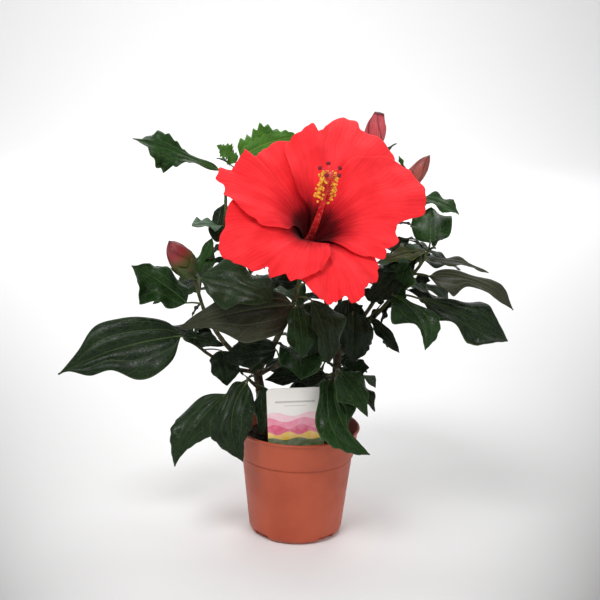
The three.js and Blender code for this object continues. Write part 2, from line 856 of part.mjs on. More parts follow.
function makeSoil() {
  const { collarFoot, collarRadius, bodyTop, bodyFoot, foot, wall, floor, step } = POT;
  const inset = wall + GAP + SOIL.taper;
  const slope = (POT.rim - collarRadius) / (POT.height - collarFoot);
  const edge = collarRadius - inset + slope * (SOIL.edge - collarFoot);
  const profile = flat([
    [0, floor + GAP],
    [foot - GAP, floor + GAP],
    [bodyFoot - inset, floor + SOIL.dome + GAP],
    [bodyTop - inset, collarFoot - step],
    [collarRadius - inset - SOIL.taper, collarFoot + SOIL.taper],
    [edge, SOIL.edge],
    [SOIL.flatTo, SOIL.top],
    [0, SOIL.top],
  ]);
  show("soil", turned(profile, POT.sides).subtract(labelSolid(GAP)), "soil");
}

const limbs = {}; // by name: its curve and its solid grown by the gap, to cut what meets it

function growLimb(name, points, radius, sides, flare) {
  const steps = 3 * (points.length - 1);
  const made = limb(points, radius, sides, steps, 0, flare);
  const grown = solidOf(limb(points, radius, sides, steps, GAP, flare).geometry);
  limbs[name] = { curve: made.curve, grown, points, radius };
  return solidOf(made.geometry);
}

function makeTrunks() {
  for (const [name, { through, radius }] of Object.entries(TRUNKS)) {
    show(name, growLimb(name, through.map(vector), radius, LIMB_SIDES, true), "bark");
  }
}

function makeBoughs() {
  for (const [name, { from, through, radius }] of Object.entries(BOUGHS)) {
    const start = limbs[from].points.at(-1);
    let solid = growLimb(name, [start, ...through.map(vector)], radius, LIMB_SIDES);
    for (const [other, { grown }] of Object.entries(limbs)) {
      if (other !== name) solid = solid.subtract(grown);
    }
    show(name, mainBody(solid), "bark");
  }
}

// Every stem is worked out before any leaf, so that a leaf can keep clear of all of them.
function stemOf(name, { from, start = 1, through, radius }) {
  const base = limbs[from].curve.getPoint(start);
  return growLimb(name, [base, ...through.map(vector)], radius, STEM_SIDES);
}

// A mass: its stem, and each of its leaves that runs into nothing else.
function makeMass(name, stem, { leaves, rule }) {
  const { curve } = limbs[name];
  const others = Object.keys(limbs)
    .filter((other) => other !== name)
    .map((other) => limbs[other].grown);
  const parts = [stem];
  for (const one of leaves ?? ruledLeaves(rule)) {
    const foot = curve.getPoint(THREE.MathUtils.lerp(FIRST_LEAF, 1, one.at));
    const solid = leafSolid(foot, one);
    const blocked = others.some((grown) => grown.intersect(solid).volume() > 0);
    if (!blocked && !meets(solid)) parts.push(solid);
  }
  const mass = others.reduce((left, grown) => left.subtract(grown), fuse(parts));
  show(name, mainBody(mass), "leaf");
}

// The bloom's own axes: to the right, up and out of its face.
const facing = direction(BLOOM.heading, BLOOM.pitch);
const rightward = new THREE.Vector3().crossVectors(new THREE.Vector3(0, 0, 1), facing).normalize();
const upward = new THREE.Vector3().crossVectors(facing, rightward);
const bloomPoint = (x, y, z) =>
  vector(BLOOM.foot)
    .addScaledVector(rightward, x)
    .addScaledVector(upward, y)
    .addScaledVector(facing, z);

// How far out of the throat the corolla stands at one distance and angle from its axis.
function corollaHeight(r, angle) {
  const { depth, throat, funnel, recurve, reach } = BLOOM;
  const ruffle = RUFFLE.height * smooth(RUFFLE.from, RUFFLE.to, r) * Math.sin(RUFFLE.waves * angle);
  return depth * (1 - Math.exp(-(r - throat) / funnel)) - recurve * (r / reach) ** 3 + ruffle;
}

// A petal is a thin curved sheet out to its margin. Its sides lie in front of its neighbours or
// behind them, so the five weave round the throat.
function petalSolid({ throat: middle, sides, curl, margin }) {
  const { throat, half, spread, weave, thick, crowd, curlWidth, rows, columns } = BLOOM;
  const rim = new THREE.CatmullRomCurve3(
    margin.map(([angle, reach]) => new THREE.Vector3(angle, reach, 0)),
    false,
    "centripetal",
  );
  const [lift, start, at] = curl;
  const point = (i, j, side) => {
    const t = (2 * j) / columns - 1;
    const end = rim.getPoint(j / columns);
    const r = throat + (end.y - throat) * (i / rows) ** crowd;
    const angle = radians(THREE.MathUtils.lerp(middle + t * half, end.x, smooth(...spread, r)));
    const rolled = lift * smooth(start, 1, t) * Math.exp(-(((r - at) / curlWidth) ** 2));
    const front = (t > 0 ? sides[1] : sides[0]) * Math.abs(t) * weave * smooth(throat, spread[0], r);
    const height = corollaHeight(r, angle) + front + rolled + (side * thick) / 2;
    return bloomPoint(r * Math.cos(angle), r * Math.sin(angle), height);
  };
  const rings = [];
  for (let i = 0; i <= rows; i++) {
    const ring = [];
    for (let j = 0; j <= columns; j++) ring.push(point(i, j, -1));
    for (let j = columns; j >= 0; j--) ring.push(point(i, j, 1));
    rings.push(ring);
  }
  return solidOf(loft(rings));
}

function makeBloom() {
  PETALS.forEach((petal, i) => show(`petal_${i + 1}`, petalSolid(petal), "petal"));
  makeColumn();
  makeStalk();
}

// A short filament or style that stands out of the column, with a knob on its end.
function knob(curve, share, turn, reach, size) {
  const foot = curve.getPoint(share);
  const ahead = curve.getTangent(share);
  const side = new THREE.Vector3().crossVectors(ahead, rightward).normalize();
  side.applyAxisAngle(ahead, radians(turn));
  const out = side.addScaledVector(ahead, COLUMN.lean).normalize();
  const tip = foot.clone().addScaledVector(out, reach);
  const head = new THREE.OctahedronGeometry(size).translate(...tip.toArray());
  const stem = limb([foot, tip], COLUMN.filamentRadius, COLUMN.filamentSides, 1);
  return solidOf(stem.geometry).add(solidOf(head));
}

// The staminal column: a curved tube with anthers on short filaments and five stigma pads.
function makeColumn() {
  const { length, heading, bend, ease, steps, sides, radius } = COLUMN;
  const points = [vector(BLOOM.foot)];
  for (let i = 0; i < steps; i++) {
    const turn = bend * ((i + 0.5) / steps) ** ease;
    const ahead = direction(heading, BLOOM.pitch + turn);
    points.push(points[i].clone().addScaledVector(ahead, length / steps));
  }
  const { geometry, curve } = limb(points, radius, sides, steps);
  const parts = [solidOf(geometry)];
  for (let i = 0; i < COLUMN.anthers; i++) {
    const share = THREE.MathUtils.lerp(...COLUMN.anthersAt, (i + 0.5) / COLUMN.anthers);
    parts.push(knob(curve, share, i * GOLDEN, COLUMN.filament, COLUMN.anther));
  }
  for (let i = 0; i < COLUMN.stigmas; i++) {
    const turn = (360 / COLUMN.stigmas) * i;
    parts.push(knob(curve, COLUMN.stigmasAt, turn, COLUMN.style, COLUMN.stigma));
  }
  show("bloom_column", mainBody(fuse(parts)), "column");
}

// Turns a profile, given as radius and height, round an axis that starts at the foot.
function turnedAlong(profile, sides, foot, ahead) {
  const turn = new THREE.Quaternion().setFromUnitVectors(new THREE.Vector3(0, 0, 1), ahead);
  const geometry = new THREE.LatheGeometry(flat(profile), sides);
  geometry.rotateX(Math.PI / 2);
  return solidOf(geometry.applyQuaternion(turn).translate(...foot.toArray()));
}

// A calyx: a cup round the foot of a flower or bud, with pointed sepals on its rim.
function calyx(profile, foot, ahead, [radius, height], [length, flare]) {
  const turn = new THREE.Quaternion().setFromUnitVectors(new THREE.Vector3(0, 0, 1), ahead);
  const parts = [turnedAlong(profile, BUD_SIDES, foot, ahead)];
  for (let i = 0; i < SEPAL.count; i++) {
    const a = (2 * Math.PI * (i + 0.5)) / SEPAL.count;
    const out = new THREE.Vector3(Math.cos(a), Math.sin(a), 0).applyQuaternion(turn);
    const root = foot.clone().addScaledVector(ahead, height).addScaledVector(out, radius);
    const tip = root.clone().addScaledVector(ahead, length).addScaledVector(out, length * flare);
    parts.push(solidOf(limb([root, tip], SEPAL.radius, SEPAL.sides, 1).geometry));
  }
  return fuse(parts);
}

// Cuts what a stalk and its calyx share with the limbs, and shows what is left.
function showCalyx(name, parts) {
  const whole = Object.values(limbs).reduce((left, { grown }) => left.subtract(grown), fuse(parts));
  show(name, mainBody(whole), "calyx");
}

function makeStalk() {
  const { radius, sides, steps, cup, cupLength, cupFoot, sepals } = STALK;
  const seat = BLOOM.thick / 2 + GAP;
  const foot = vector(BLOOM.foot).addScaledVector(facing, -cupLength);
  const knee = foot.clone().addScaledVector(facing, -STALK.knee);
  const end = foot.clone().addScaledVector(facing, STALK.into);
  const bent = limb([vector(STALK.from), knee, end], [radius, radius], sides, steps);
  const profile = [
    [0, 0],
    [cup * cupFoot, 0],
    [cup, cupLength],
    [BLOOM.throat + seat, cupLength],
    [BLOOM.throat + seat, cupLength - seat],
    [0, cupLength - seat],
  ];
  const whole = calyx(profile, foot, facing, [cup, cupLength * sepals], SEPAL.bloom);
  showCalyx("bloom_calyx", [solidOf(bent.geometry), whole]);
}

// A closed bud in its calyx, on a short neck that goes on from its stem.
function makeBud(name, { from, neck, heading, pitch, length, width, shape }) {
  const ahead = direction(heading, pitch);
  const start = limbs[from].points.at(-1);
  const foot = start.clone().addScaledVector(ahead, neck);
  const sized = ([out, along], grow = 0) => [(out * width) / 2 + grow, along * length];
  show(name, turnedAlong(shape.map((share) => sized(share)), BUD_SIDES, foot, ahead), "bud");
  const outside = CUP.clear + CUP.thick;
  const profile = [
    [0, 0],
    sized(CUP.foot),
    sized(CUP.bend, outside),
    sized(CUP.mouth, outside),
    sized(CUP.mouth, CUP.clear),
    sized(CUP.bend, CUP.clear),
    [0, CUP.floor * length - GAP],
  ];
  const neckEnd = foot.clone().addScaledVector(ahead, NECK.into);
  const stalk = limb([start, neckEnd], NECK.radius, NECK.sides, NECK.steps);
  const [radius, height] = sized(CUP.mouth, outside);
  const cup = calyx(profile, foot, ahead, [radius, height * CUP.sepals], SEPAL.bud);
  showCalyx(`${name}_calyx`, [solidOf(stalk.geometry), cup]);
}

makePot();
makeSoil();
show("label", labelSolid(0), "label");
makeTrunks();
makeBoughs();
const stems = Object.entries(MASSES).map(([name, mass]) => [name, stemOf(name, mass), mass]);
makeBloom();
for (const [name, bud] of Object.entries(BUDS)) makeBud(name, bud);
for (const [name, stem, mass] of stems) makeMass(name, stem, mass);

export default group;
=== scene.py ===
"""A young hibiscus shrub in its nursery pot: bark, twigs, leaves, one wide open bloom, three
buds, peat and a plain label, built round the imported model. Tables and formulas are in
millimetres, as in the part's source, and a piece's mesh is in metres."""

import math

import bmesh
import bpy
import numpy as np
from mathutils import Matrix, Quaternion, Vector, noise


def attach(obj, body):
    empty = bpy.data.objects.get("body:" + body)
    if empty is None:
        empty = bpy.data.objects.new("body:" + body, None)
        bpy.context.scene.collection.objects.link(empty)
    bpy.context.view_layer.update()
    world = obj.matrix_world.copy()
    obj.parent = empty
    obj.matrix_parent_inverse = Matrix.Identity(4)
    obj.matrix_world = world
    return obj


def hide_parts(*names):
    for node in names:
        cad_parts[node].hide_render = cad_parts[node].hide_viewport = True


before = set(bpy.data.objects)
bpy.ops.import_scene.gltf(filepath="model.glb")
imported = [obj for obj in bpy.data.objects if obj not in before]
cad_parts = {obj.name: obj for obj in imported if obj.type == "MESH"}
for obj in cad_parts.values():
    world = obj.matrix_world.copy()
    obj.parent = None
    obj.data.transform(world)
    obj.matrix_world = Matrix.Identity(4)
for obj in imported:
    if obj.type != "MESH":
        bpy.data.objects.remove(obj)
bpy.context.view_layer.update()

METRE = 0.001  # metres in a millimetre
BODY = "root"

# The camera stands where the photograph was taken from: place, angles in degrees, lens.
CAMERA = {"at": (-1.0, -1010.6, 462.9), "pitch": -13.0, "roll": -1.5, "lens": 66.0, "sensor": 36.0}
# The floor and the wall behind it, in metres, and the shade painted on the floor by how near the lens it is
# and how far aside: it is weaker in front, and far to the left and right.
STAGE = {"half": 6.0, "back": 5.0, "rise": 5.0, "arc": 1.5, "steps": (0.1, 1.5, 12)}
SHADE = {
    "distance": 1.0, "nearest": 0.4, "eye": 0.46, "corners": 17.0, "near": 0.12, "right": 0.3,
    "front": (-0.7, -0.2, 0.2, 1.0), "aside": (0.3, 0.8, 1.0, 0.15),
}
WORLD_LIGHT = 0.42
# Each lamp: its place, what it is turned to and how wide it is, in metres, and its power.
LIGHTS = [
    ("Key", (-1.0, -2.0, 3.2), (0, 0, 0.24), 1.6, 72),
    ("Fill", (2.2, -2.2, 1.6), (0, 0, 0.24), 2.0, 16),
    ("Back", (0.3, 2.2, 3.2), (0, 0, 0.24), 3.0, 80),
    ("Wall", (-0.1, 2.6, 2.4), (-0.1, 4.6, 0.5), 1.6, 26),
]

# Pot, peat and label, as in the source.
POT = {
    "height": 106, "rim": 60, "collar_foot": 79, "collar_radius": 55, "body_top": 53.4,
    "body_foot": 45.6, "foot": 38, "corner": 7.6, "wall": 1.5, "floor": 9.5, "lip": 2.2,
    "bead": 0.6, "step": 1.4,
}
NOTCH = {"count": 4, "from": -47, "width": 19, "depth": 7, "height": 6}
POT_SIDES = 144
# The pot's edges are rounded where they turn by this many degrees or more. What still turns by
# more than the crease, there and on the label, is shaded as an edge.
ROUNDING = {"radius": 0.5, "steps": 2, "from": 50}
CREASE = 40
SOIL = {"edge": 92, "top": 94, "dome": 4, "sides": 120, "rings": 40, "sunk": 0.4, "rim": (46, 56, 2.0)}
# How far the plug of peat keeps from the pot at its foot, over the corner, at the neck and under
# its own edge: inward, and up or down. Its edge keeps off the wall and fits loosely in it.
PLUG = {"foot": (1, 0.3), "corner": (2, 5), "neck": (2.2, 2), "edge": (0.6, 3), "off": 0.3, "loose": 0.4}
LUMPS = ((1.6, 14, 3), (1.1, 5, 9), (0.5, 2, 5))  # the height, width and kind of the peat's lumps
CRUMBS = {
    "count": 520, "seed": 5, "within": 0.97, "size": (0.7, 2.0), "long": (0.6, 0.9), "sunk": 0.35,
    "rough": 0.3, "ball": (4, 7, 0.3),
}
LABEL = {
    "width": 52, "top": 157, "shoulder": 101, "neck": 89, "foot": 58, "stake": 16, "point": 4,
    "corner": 4, "thick": 1, "at": (-1, -44, 0), "tilt": -3, "turn": 3, "arc_steps": 8,
    "middle": 12, "rounding": ((1, 0), (0.3, 0), (0, 0.25)),
}

# Limbs: each one's points and the radius at its two ends.
FLARE = {"height": 9, "share": 0.45}
WOOD = {
    "trunk": {"sides": 28, "step": 1.2, "knots": 15},
    "bough": {"sides": 20, "step": 1.2, "knots": 13},
    "stem": {"sides": 16, "step": 1.4, "knots": 8},
}
# The bark's relief: a ridge's size round the limb, its length along it and its height, and the
# width and height of the ring where an old leaf stood.
RELIEF = {
    "ridges": ((2.2, 16, 0.09), (6, 4, 0.05)), "ring": (1.3, 0.09), "first": 7,
    "uneven": (0.8, 0.4), "phase": 10, "samples": 400, "least_rings": 4,
}
TRUNKS = {
    "trunk_left": {"through": [(-32, 6, 94.3), (-35, 5, 125), (-40, 4, 156)], "radius": (5.6, 4.2)},
    "trunk_right": {"through": [(33, 8, 94.3), (35, 8, 140), (37, 9, 182)], "radius": (4.8, 3.7)},
}
BOUGHS = {
    "bough_left": ("trunk_left", [(-70, -6, 186), (-89, -12, 216)], (2.7, 1.9)),
    "bough_left_low": ("trunk_left", [(-66, 0, 162), (-90, -2, 177)], (2.1, 1.5)),
    "bough_upper_left": ("trunk_left", [(-40, 24, 205), (-58, 34, 250), (-68, 40, 272)], (2.8, 2)),
    "bough_bloom": ("trunk_left", [(-25, -12, 188), (-15, -34, 214)], (3, 2.5)),
    "bough_back_left": ("trunk_left", [(-44, 38, 178), (-48, 62, 204)], (2.3, 1.8)),
    "bough_right": ("trunk_right", [(56, 4, 200), (76, 1, 222)], (2.6, 2)),
    "bough_upper_right": ("trunk_right", [(49, 20, 232), (68, 28, 276)], (2.6, 2)),
    "bough_upper_back": ("trunk_right", [(38, 26, 232), (44, 40, 282)], (2.4, 1.9)),
    "bough_back": ("trunk_right", [(28, 42, 205), (22, 72, 226)], (2.3, 1.8)),
    "bough_back_right": ("trunk_right", [(60, 36, 204), (74, 54, 220)], (2.3, 1.8)),
}

# Leaves: the source's usual form, and what a blade has beside it here. A blade is widest where
# the belly and the taper say, or has an outline of its own: its reach to the left and to the
# right of its midrib, seen from above with its tip ahead, in hundredths of its length. Its veins
# lie in grooves, the flesh swells between them, its margin waves, and its outer part is toothed.
# A petiole's radii are those at its foot and its tip on a full-size leaf, each with the share of
# it that the smallest leaves keep.
BLADE = {
    "stations": (4, 6), "spacing": 50, "belly": 0.6, "taper": 0.9, "thick": 1 / 50, "width": 0.52,
    "arch": 40, "fold": 14,
}
OUTLINE_AT = (0, 8, 25, 42, 60, 78, 92, 100)
OUTLINE_STEPS = 80
PETIOLE = {
    "radii": ((1.2, 0.5), (0.9, 0.4)), "full": 80, "bow": 0.06, "into": 0.06, "foot": (0.45, 1.6),
    "steps": 8, "sides": 8,
}
GOLDEN = 137.5
FIRST_LEAF = 0.12
LEAF_SEED = 7
RULE = {
    "shrink": 0.35, "lift": 30, "level": 34, "turn": 24, "twist": 30, "size": 0.14, "reach": 0.2,
    "width": (0.55, 0.12), "arch": (44, 0.3),
}
LEAF_STATIONS = 52
LEAF_COLUMNS = (0, 0.05, 0.13, 0.24, 0.36, 0.46, 0.56, 0.7, 0.85, 1)  # from the midrib to one side
MAIN_VEIN = 0.46  # the column of the two veins beside the midrib
SAME_PLACE = 0.2  # corners closer than this are one
TEETH = {"count": 9, "depth": 0.05, "from": 0.55, "ease": (-0.1, 0.15), "steep": 0.72, "middle": 0.4}
FLESH = {
    "thick": 0.6, "edge": 0.28, "rib": 1.0, "rib_taper": 0.75, "side_rib": 0.3, "midrib": 0.06,
    "vein": 0.07, "outer": 0.7, "fade": (0.95, 0.6), "groove": 0.0072, "swell": 0.011, "slim": 0.2,
    "least": 0.0075, "crease": 0.02, "wave": 0.26, "waves": (1.6, 0.9), "wave_steep": 2.2,
    "droop": 0.12,
}
LATERALS = {"count": 6, "lean": 0.34, "offset": 0.45, "from": (0.1, 0.35), "swell": 0.0048}


def leaf(at, petiole, blade, **form):
    """A leaf: its share of the stem, then heading, pitch and length of its petiole and blade."""
    return {"at": at, "petiole": petiole, "blade": blade, "form": form}


MASSES = {
    "leaves_left": {
        "from": "bough_left", "through": [(-95, -15, 236), (-99, -15, 250)], "radius": (1.8, 1.5),
        "leaves": [
            leaf(0.15, (168, 0, 15), (-179, 34, 62), arch=20, roll=-58, look="green", wave=0.6,
                 left=(18, 28, 37, 41, 27, 7), right=(11, 23, 20, 24, 16, 4), teeth=0.1),
            leaf(0.4, (-86, 34, 42), (-17, -12, 72), arch=30, roll=44, sway=-3,
                 left=(16, 31, 34, 24, 31, 17), right=(7, 28, 34, 33, 21, 8)),
            leaf(0.5, (84, 26, 21), (62, 66, 40), width=0.5, arch=20, look="green"),
            leaf(0.4, (83, 47, 37), (14, 41, 26), width=0.8, arch=26, look="olive"),
        ],
    },
    "leaves_left_low": {
        "from": "bough_left_low", "through": [(-98, -4, 184), (-106, -6, 189)], "radius": (1.5, 1.3),
        "leaves": [
            leaf(0.95, (-164, 33, 9), (-170, -17, 120), arch=12, roll=-62, sway=-14, tone=0.4,
                 left=(19, 30, 29, 16, 13, 2), right=(12, 19, 23, 24, 10, 3), teeth=0, wave=0.1),
            leaf(0, (-31, 8, 22), (-67, -62, 34), width=0.9, arch=26, tone=0.1),
            leaf(0.5, (110, 10, 20), (138, -6, 62), width=0.5, arch=40),
        ],
    },
    "leaves_foot_left": {
        "from": "trunk_left", "start": 0.72, "through": [(-44, -10, 150), (-48, -22, 158)],
        "radius": (1.8, 1.4),
        "leaves": [
            leaf(0.85, (-160, -30, 25), (-145, -48, 84), arch=40, roll=-20, teeth=0.13,
                 left=(5, 19, 32, 16, 7, 2), right=(8, 20, 28, 24, 16, 9)),
            leaf(1, (-90, -4, 12), (-92, -64, 80), arch=46, roll=-6, sway=-70, teeth=0.13,
                 left=(14, 24, 25, 24, 12, 6), right=(11, 14, 18, 26, 15, 4)),
            leaf(0.3, (-40, 0, 12), (-88, -60, 46), width=0.42, arch=20, roll=30),
        ],
    },
    "leaves_bloom": {
        "from": "bough_bloom",
        "through": [(-7, -44, 236), (-1, -45, 262), (3, -40, 276)],
        "radius": (2.4, 1.9),
        "leaves": [
            leaf(0.2, (-86, 20, 14), (174, -15, 108), arch=16, roll=-52, look="olive", teeth=0, wave=0.1,
                 left=(23, 32, 31, 18, 7, 4), right=(10, 16, 17, 15, 10, 4)),
            leaf(0.26, (-80, 4, 17), (-76, -56, 50), arch=44, teeth=0, look="green", tone=0,
                 left=(15, 19, 22, 23, 19, 8), right=(10, 21, 25, 27, 24, 7)),
            leaf(0.34, (-50, 4, 22), (-56, -58, 60), arch=40, roll=6, teeth=0, tone=0.3,
                 left=(12, 35, 37, 29, 22, 7), right=(5, 11, 15, 15, 15, 11)),
            leaf(0.8, (170, 5, 18), (-150, -60, 34), width=0.7, arch=30, tone=0),
            leaf(0.75, (20, 10, 18), (8, -14, 48), width=0.55, arch=40),
        ],
    },
    "leaves_centre_low": {
        "from": "trunk_left", "start": 0.95, "through": [(-20, -6, 168), (-6, -14, 182)],
        "radius": (1.8, 1.4),
        "leaves": [
            leaf(1, (-60, 50, 14), (-86, -22, 54), arch=44, teeth=0.04, look="green", tone=0,
                 left=(16, 30, 37, 38, 33, 14), right=(16, 30, 36, 36, 25, 9)),
            leaf(0.5, (-100, 41, 28), (-178, -14, 49), arch=26, roll=-48, tone=0,
                 left=(22, 32, 32, 30, 24, 10), right=(20, 32, 36, 34, 26, 10)),
        ],
    },
    "leaves_foot_right": {
        "from": "trunk_right", "start": 0.66, "through": [(38, -4, 160), (36, -14, 166)],
        "radius": (1.7, 1.3),
        "leaves": [
            leaf(1, (-98, -8, 21), (-42, -54, 83), arch=32, roll=24, sway=-90, look="green", tone=0.1,
                 left=(3, 12, 20, 4, 3, 2), right=(16, 20, 28, 32, 17, 6), teeth=0.13),
            leaf(0.9, (-88, 14, 32), (-44, -44, 50), arch=44, roll=10, look="green", tone=0.1,
                 left=(25, 29, 29, 20, 9, 4), right=(22, 41, 45, 41, 24, 8)),
            leaf(0.4, (-20, -15, 8), (-36, -40, 44), width=0.6, arch=30),
            leaf(0.2, (13, 12, 5), (-5, 15, 26), width=0.9, arch=26, roll=40),
            leaf(0.6, (157, -23, 14), (-178, -5, 59), width=0.5, arch=20, roll=-28, tone=0),
        ],
    },
    "leaves_right_low": {
        "from": "trunk_right", "start": 0.93, "through": [(48, 0, 196), (62, -4, 208)],
        "radius": (1.6, 1.3),
        "leaves": [
            leaf(1, (-146, 42, 22), (-84, -76, 48), arch=26, tone=0,
                 left=(27, 36, 39, 38, 29, 10), right=(12, 21, 23, 23, 19, 6), teeth=0.12),
            leaf(0.95, (0, 51, 10), (-24, -46, 42), arch=30, roll=40, tone=0,
                 left=(5, 9, 10, 10, 7, 3), right=(10, 20, 23, 22, 16, 8)),
        ],
    },
    "leaves_right": {
        "from": "bough_right",
        "through": [(94, -3, 246), (110, -2, 266), (118, 3, 280)],
        "radius": (1.9, 1.3),
        "leaves": [
            leaf(0.24, (-114, -6, 27), (-50, -43, 66), arch=30, roll=14, sway=60, look="green", teeth=0.13,
                 left=(5, 8, 22, 25, 20, 7), right=(20, 40, 38, 11, 6, 3)),
            leaf(0.1, (-34, 2, 24), (-7, -23, 94), arch=26, roll=36, tone=0.2,
                 left=(2, 7, 16, 24, 14, 8), right=(4, 23, 24, 28, 26, 12)),
            leaf(0.46, (-33, 1, 17), (-9, -19, 87), arch=40, roll=34, sway=28, tone=0.9, look="olive",
                 left=(6, 8, 9, 13, 11, 4), right=(25, 31, 10, 10, 8, 3)),
            leaf(0.78, (51, -12, 11), (6, -12, 59), width=0.34, arch=24, roll=10, tone=0.9, look="olive"),
            leaf(0.85, (-110, 30, 12), (-150, -8, 44), width=0.44, arch=20, roll=-20, look="yellowing"),
            leaf(1, (70, 50, 8), (84, 26, 60), arch=30, look="green",
                 left=(24, 33, 33, 28, 18, 6), right=(20, 32, 34, 29, 13, 4)),
            leaf(0.5, (-140, 20, 13), (-158, -42, 46), width=0.72, arch=16, roll=-36, tone=0),
            leaf(0.7, (130, 68, 6), (-163, -20, 45), width=0.42, arch=24, roll=-30),
        ],
    },
    "leaves_upper_right": {
        "from": "bough_upper_right", "through": [(82, 29, 304), (88, 29, 322)], "radius": (1.8, 1.4),
        "leaves": [
            leaf(0.85, (-25, 18, 29), (-16, -20, 38), width=0.66, arch=36, roll=22, look="green", teeth=0.12),
            leaf(0.4, (60, 20, 22), (40, 4, 56), width=0.6),
            leaf(0.3, (47, 4, 15), (-7, -5, 16), width=0.7),
            leaf(0.5, (69, 49, 51), (-152, 75, 18), width=0.5, look="young"),
        ],
    },
    "leaves_upper_left": {
        "from": "bough_upper_left",
        "through": [(-74, 41, 300), (-74, 44, 330), (-66, 48, 348)],
        "radius": (1.9, 1.2),
        "leaves": [
            leaf(0.12, (-154, 7, 10), (-124, 7, 40), width=0.56, arch=16, roll=-20, look="pale"),
            leaf(0, (-160, -24, 14), (72, 60, 42), width=0.5, arch=30),
            leaf(0.9, (-150, 6, 14), (-166, 20, 88), arch=10, roll=-50, look="green", tone=0.5,
                 left=(3, 8, 13, 21, 20, 4), right=(3, 5, 8, 11, 17, 4), teeth=0.35, toothed_from=0.35,
                 wave=0.6),
            leaf(1, (28, 63, 10), (9, 21, 60), arch=30, roll=60, look="young", teeth=0.4,
                 toothed_from=0.1, wave=0.4,
                 left=(18, 27, 28, 26, 14, 6), right=(20, 30, 30, 26, 16, 6)),
            leaf(1, (-83, 57, 6), (-161, 39, 25), width=0.8, arch=20, roll=-50, look="young", teeth=0.5,
                 toothed_from=0.1),
            leaf(0.5, (60, 20, 20), (70, 0, 66), width=0.55),
            leaf(0.62, (77, 26, 18), (34, 5, 47), width=0.55),
        ],
    },
    "leaves_upper_back": {
        "from": "bough_upper_back", "through": [(48, 42, 310), (58, 36, 346)], "radius": (1.8, 1.4),
        "rule": dict(seed=11, count=7, heading=100, blade=62, petiole=20, rise=20, pitch=-8),
    },
    "leaves_back_left": {
        "from": "bough_back_left", "through": [(-52, 76, 226), (-52, 84, 250)], "radius": (1.7, 1.2),
        "rule": dict(seed=67, count=11, heading=120, blade=80, petiole=26, rise=20, pitch=-30),
    },
    "leaves_back": {
        "from": "bough_back", "through": [(20, 92, 246), (20, 98, 276)], "radius": (1.7, 1.2),
        "rule": dict(seed=37, count=11, heading=80, blade=80, petiole=26, rise=20, pitch=-30),
    },
    "leaves_back_right": {
        "from": "bough_back_right", "through": [(84, 66, 240), (86, 70, 262)], "radius": (1.7, 1.2),
        "rule": dict(seed=357, count=12, heading=40, blade=72, petiole=24, rise=20, pitch=-30),
    },
    "leaves_back_low": {
        "from": "trunk_right", "start": 0.5, "through": [(24, 34, 146), (16, 52, 156)],
        "radius": (1.8, 1.3),
        "rule": dict(seed=211, count=9, heading=100, blade=64, petiole=22, rise=6, pitch=-36),
    },
}

# Finer leaves that only show here: small ones between the listed ones, on the same stems.
FINER = {
    "leaves_left_low": [
        leaf(0.7, (-161, 30, 11), (6, -12, 40), width=0.4, arch=24, roll=50, tone=0),
        leaf(0.2, (30, 4, 15), (-180, 45, 23), width=0.7, arch=20, roll=-40, tone=0),
    ],
    "leaves_left": [leaf(0.1, (129, 13, 5), (-165, -58, 14), width=0.6, arch=20, look="olive")],
    "leaves_bloom": [
        leaf(0.3, (76, 37, 19), (180, 7, 27), width=0.6, arch=20, roll=-50, tone=0),
        leaf(0.1, (18, 20, 24), (-88, -74, 53), width=0.7, arch=30, tone=0),
    ],
    "leaves_right_low": [
        leaf(1, (26, 49, 28), (-175, 22, 26), width=0.6, arch=20, roll=-40, tone=0),
        leaf(0.9, (72, 20, 17), (0, -56, 36), width=0.8, arch=20, tone=0),
        leaf(0.2, (-57, 85, 43), (-92, -76, 52), width=0.66, arch=30, tone=0),
        leaf(0.6, (-25, 77, 28), (-155, -68, 26), width=0.8, arch=30, tone=0),
    ],
    "leaves_right": [
        leaf(0.15, (-64, 60, 35), (-161, -73, 42), width=0.8, arch=20, roll=-20, look="green", tone=0.2),
        leaf(0.8, (-95, 49, 12), (-175, -16, 46), width=0.24, arch=20, roll=-40, look="pale", wave=1.2),
        leaf(0.6, (-86, 54, 13), (-168, -38, 37), width=0.3, arch=20, roll=-40, wave=1.2),
        leaf(0.7, (-139, 7, 16), (-173, -3, 34), width=0.22, arch=30, roll=-40, look="pale", wave=1.0),
        leaf(0.3, (-5, 23, 11), (0, -6, 14), width=0.8, arch=20, roll=40, tone=0),
        leaf(0.2, (38, -12, 11), (0, -21, 31), width=0.26, arch=20, roll=40, tone=0),
        leaf(0.1, (130, -65, 6), (-167, -67, 24), width=0.7, arch=20, tone=0),
    ],
}

# Finer leaves on the ruled masses: how many, and how they differ from the mass's own rule.
FINER_RULE = {"count": 5, "seed": 1000, "turned": 70, "blade": 0.62, "petiole": 0.8, "raised": 22}
# Young shoots at the stems' tips: a few small leaves that have just unfolded.
SHOOT = {
    "count": 3, "at": 0.97, "petiole": 7, "blade": 20, "shrink": 0.22, "rise": 38, "pitch": 34,
    "level": 10, "spread": 24, "roll": 20,
    "form": {"width": 0.5, "arch": 50, "teeth": 0.14, "tone": 0.9},
}

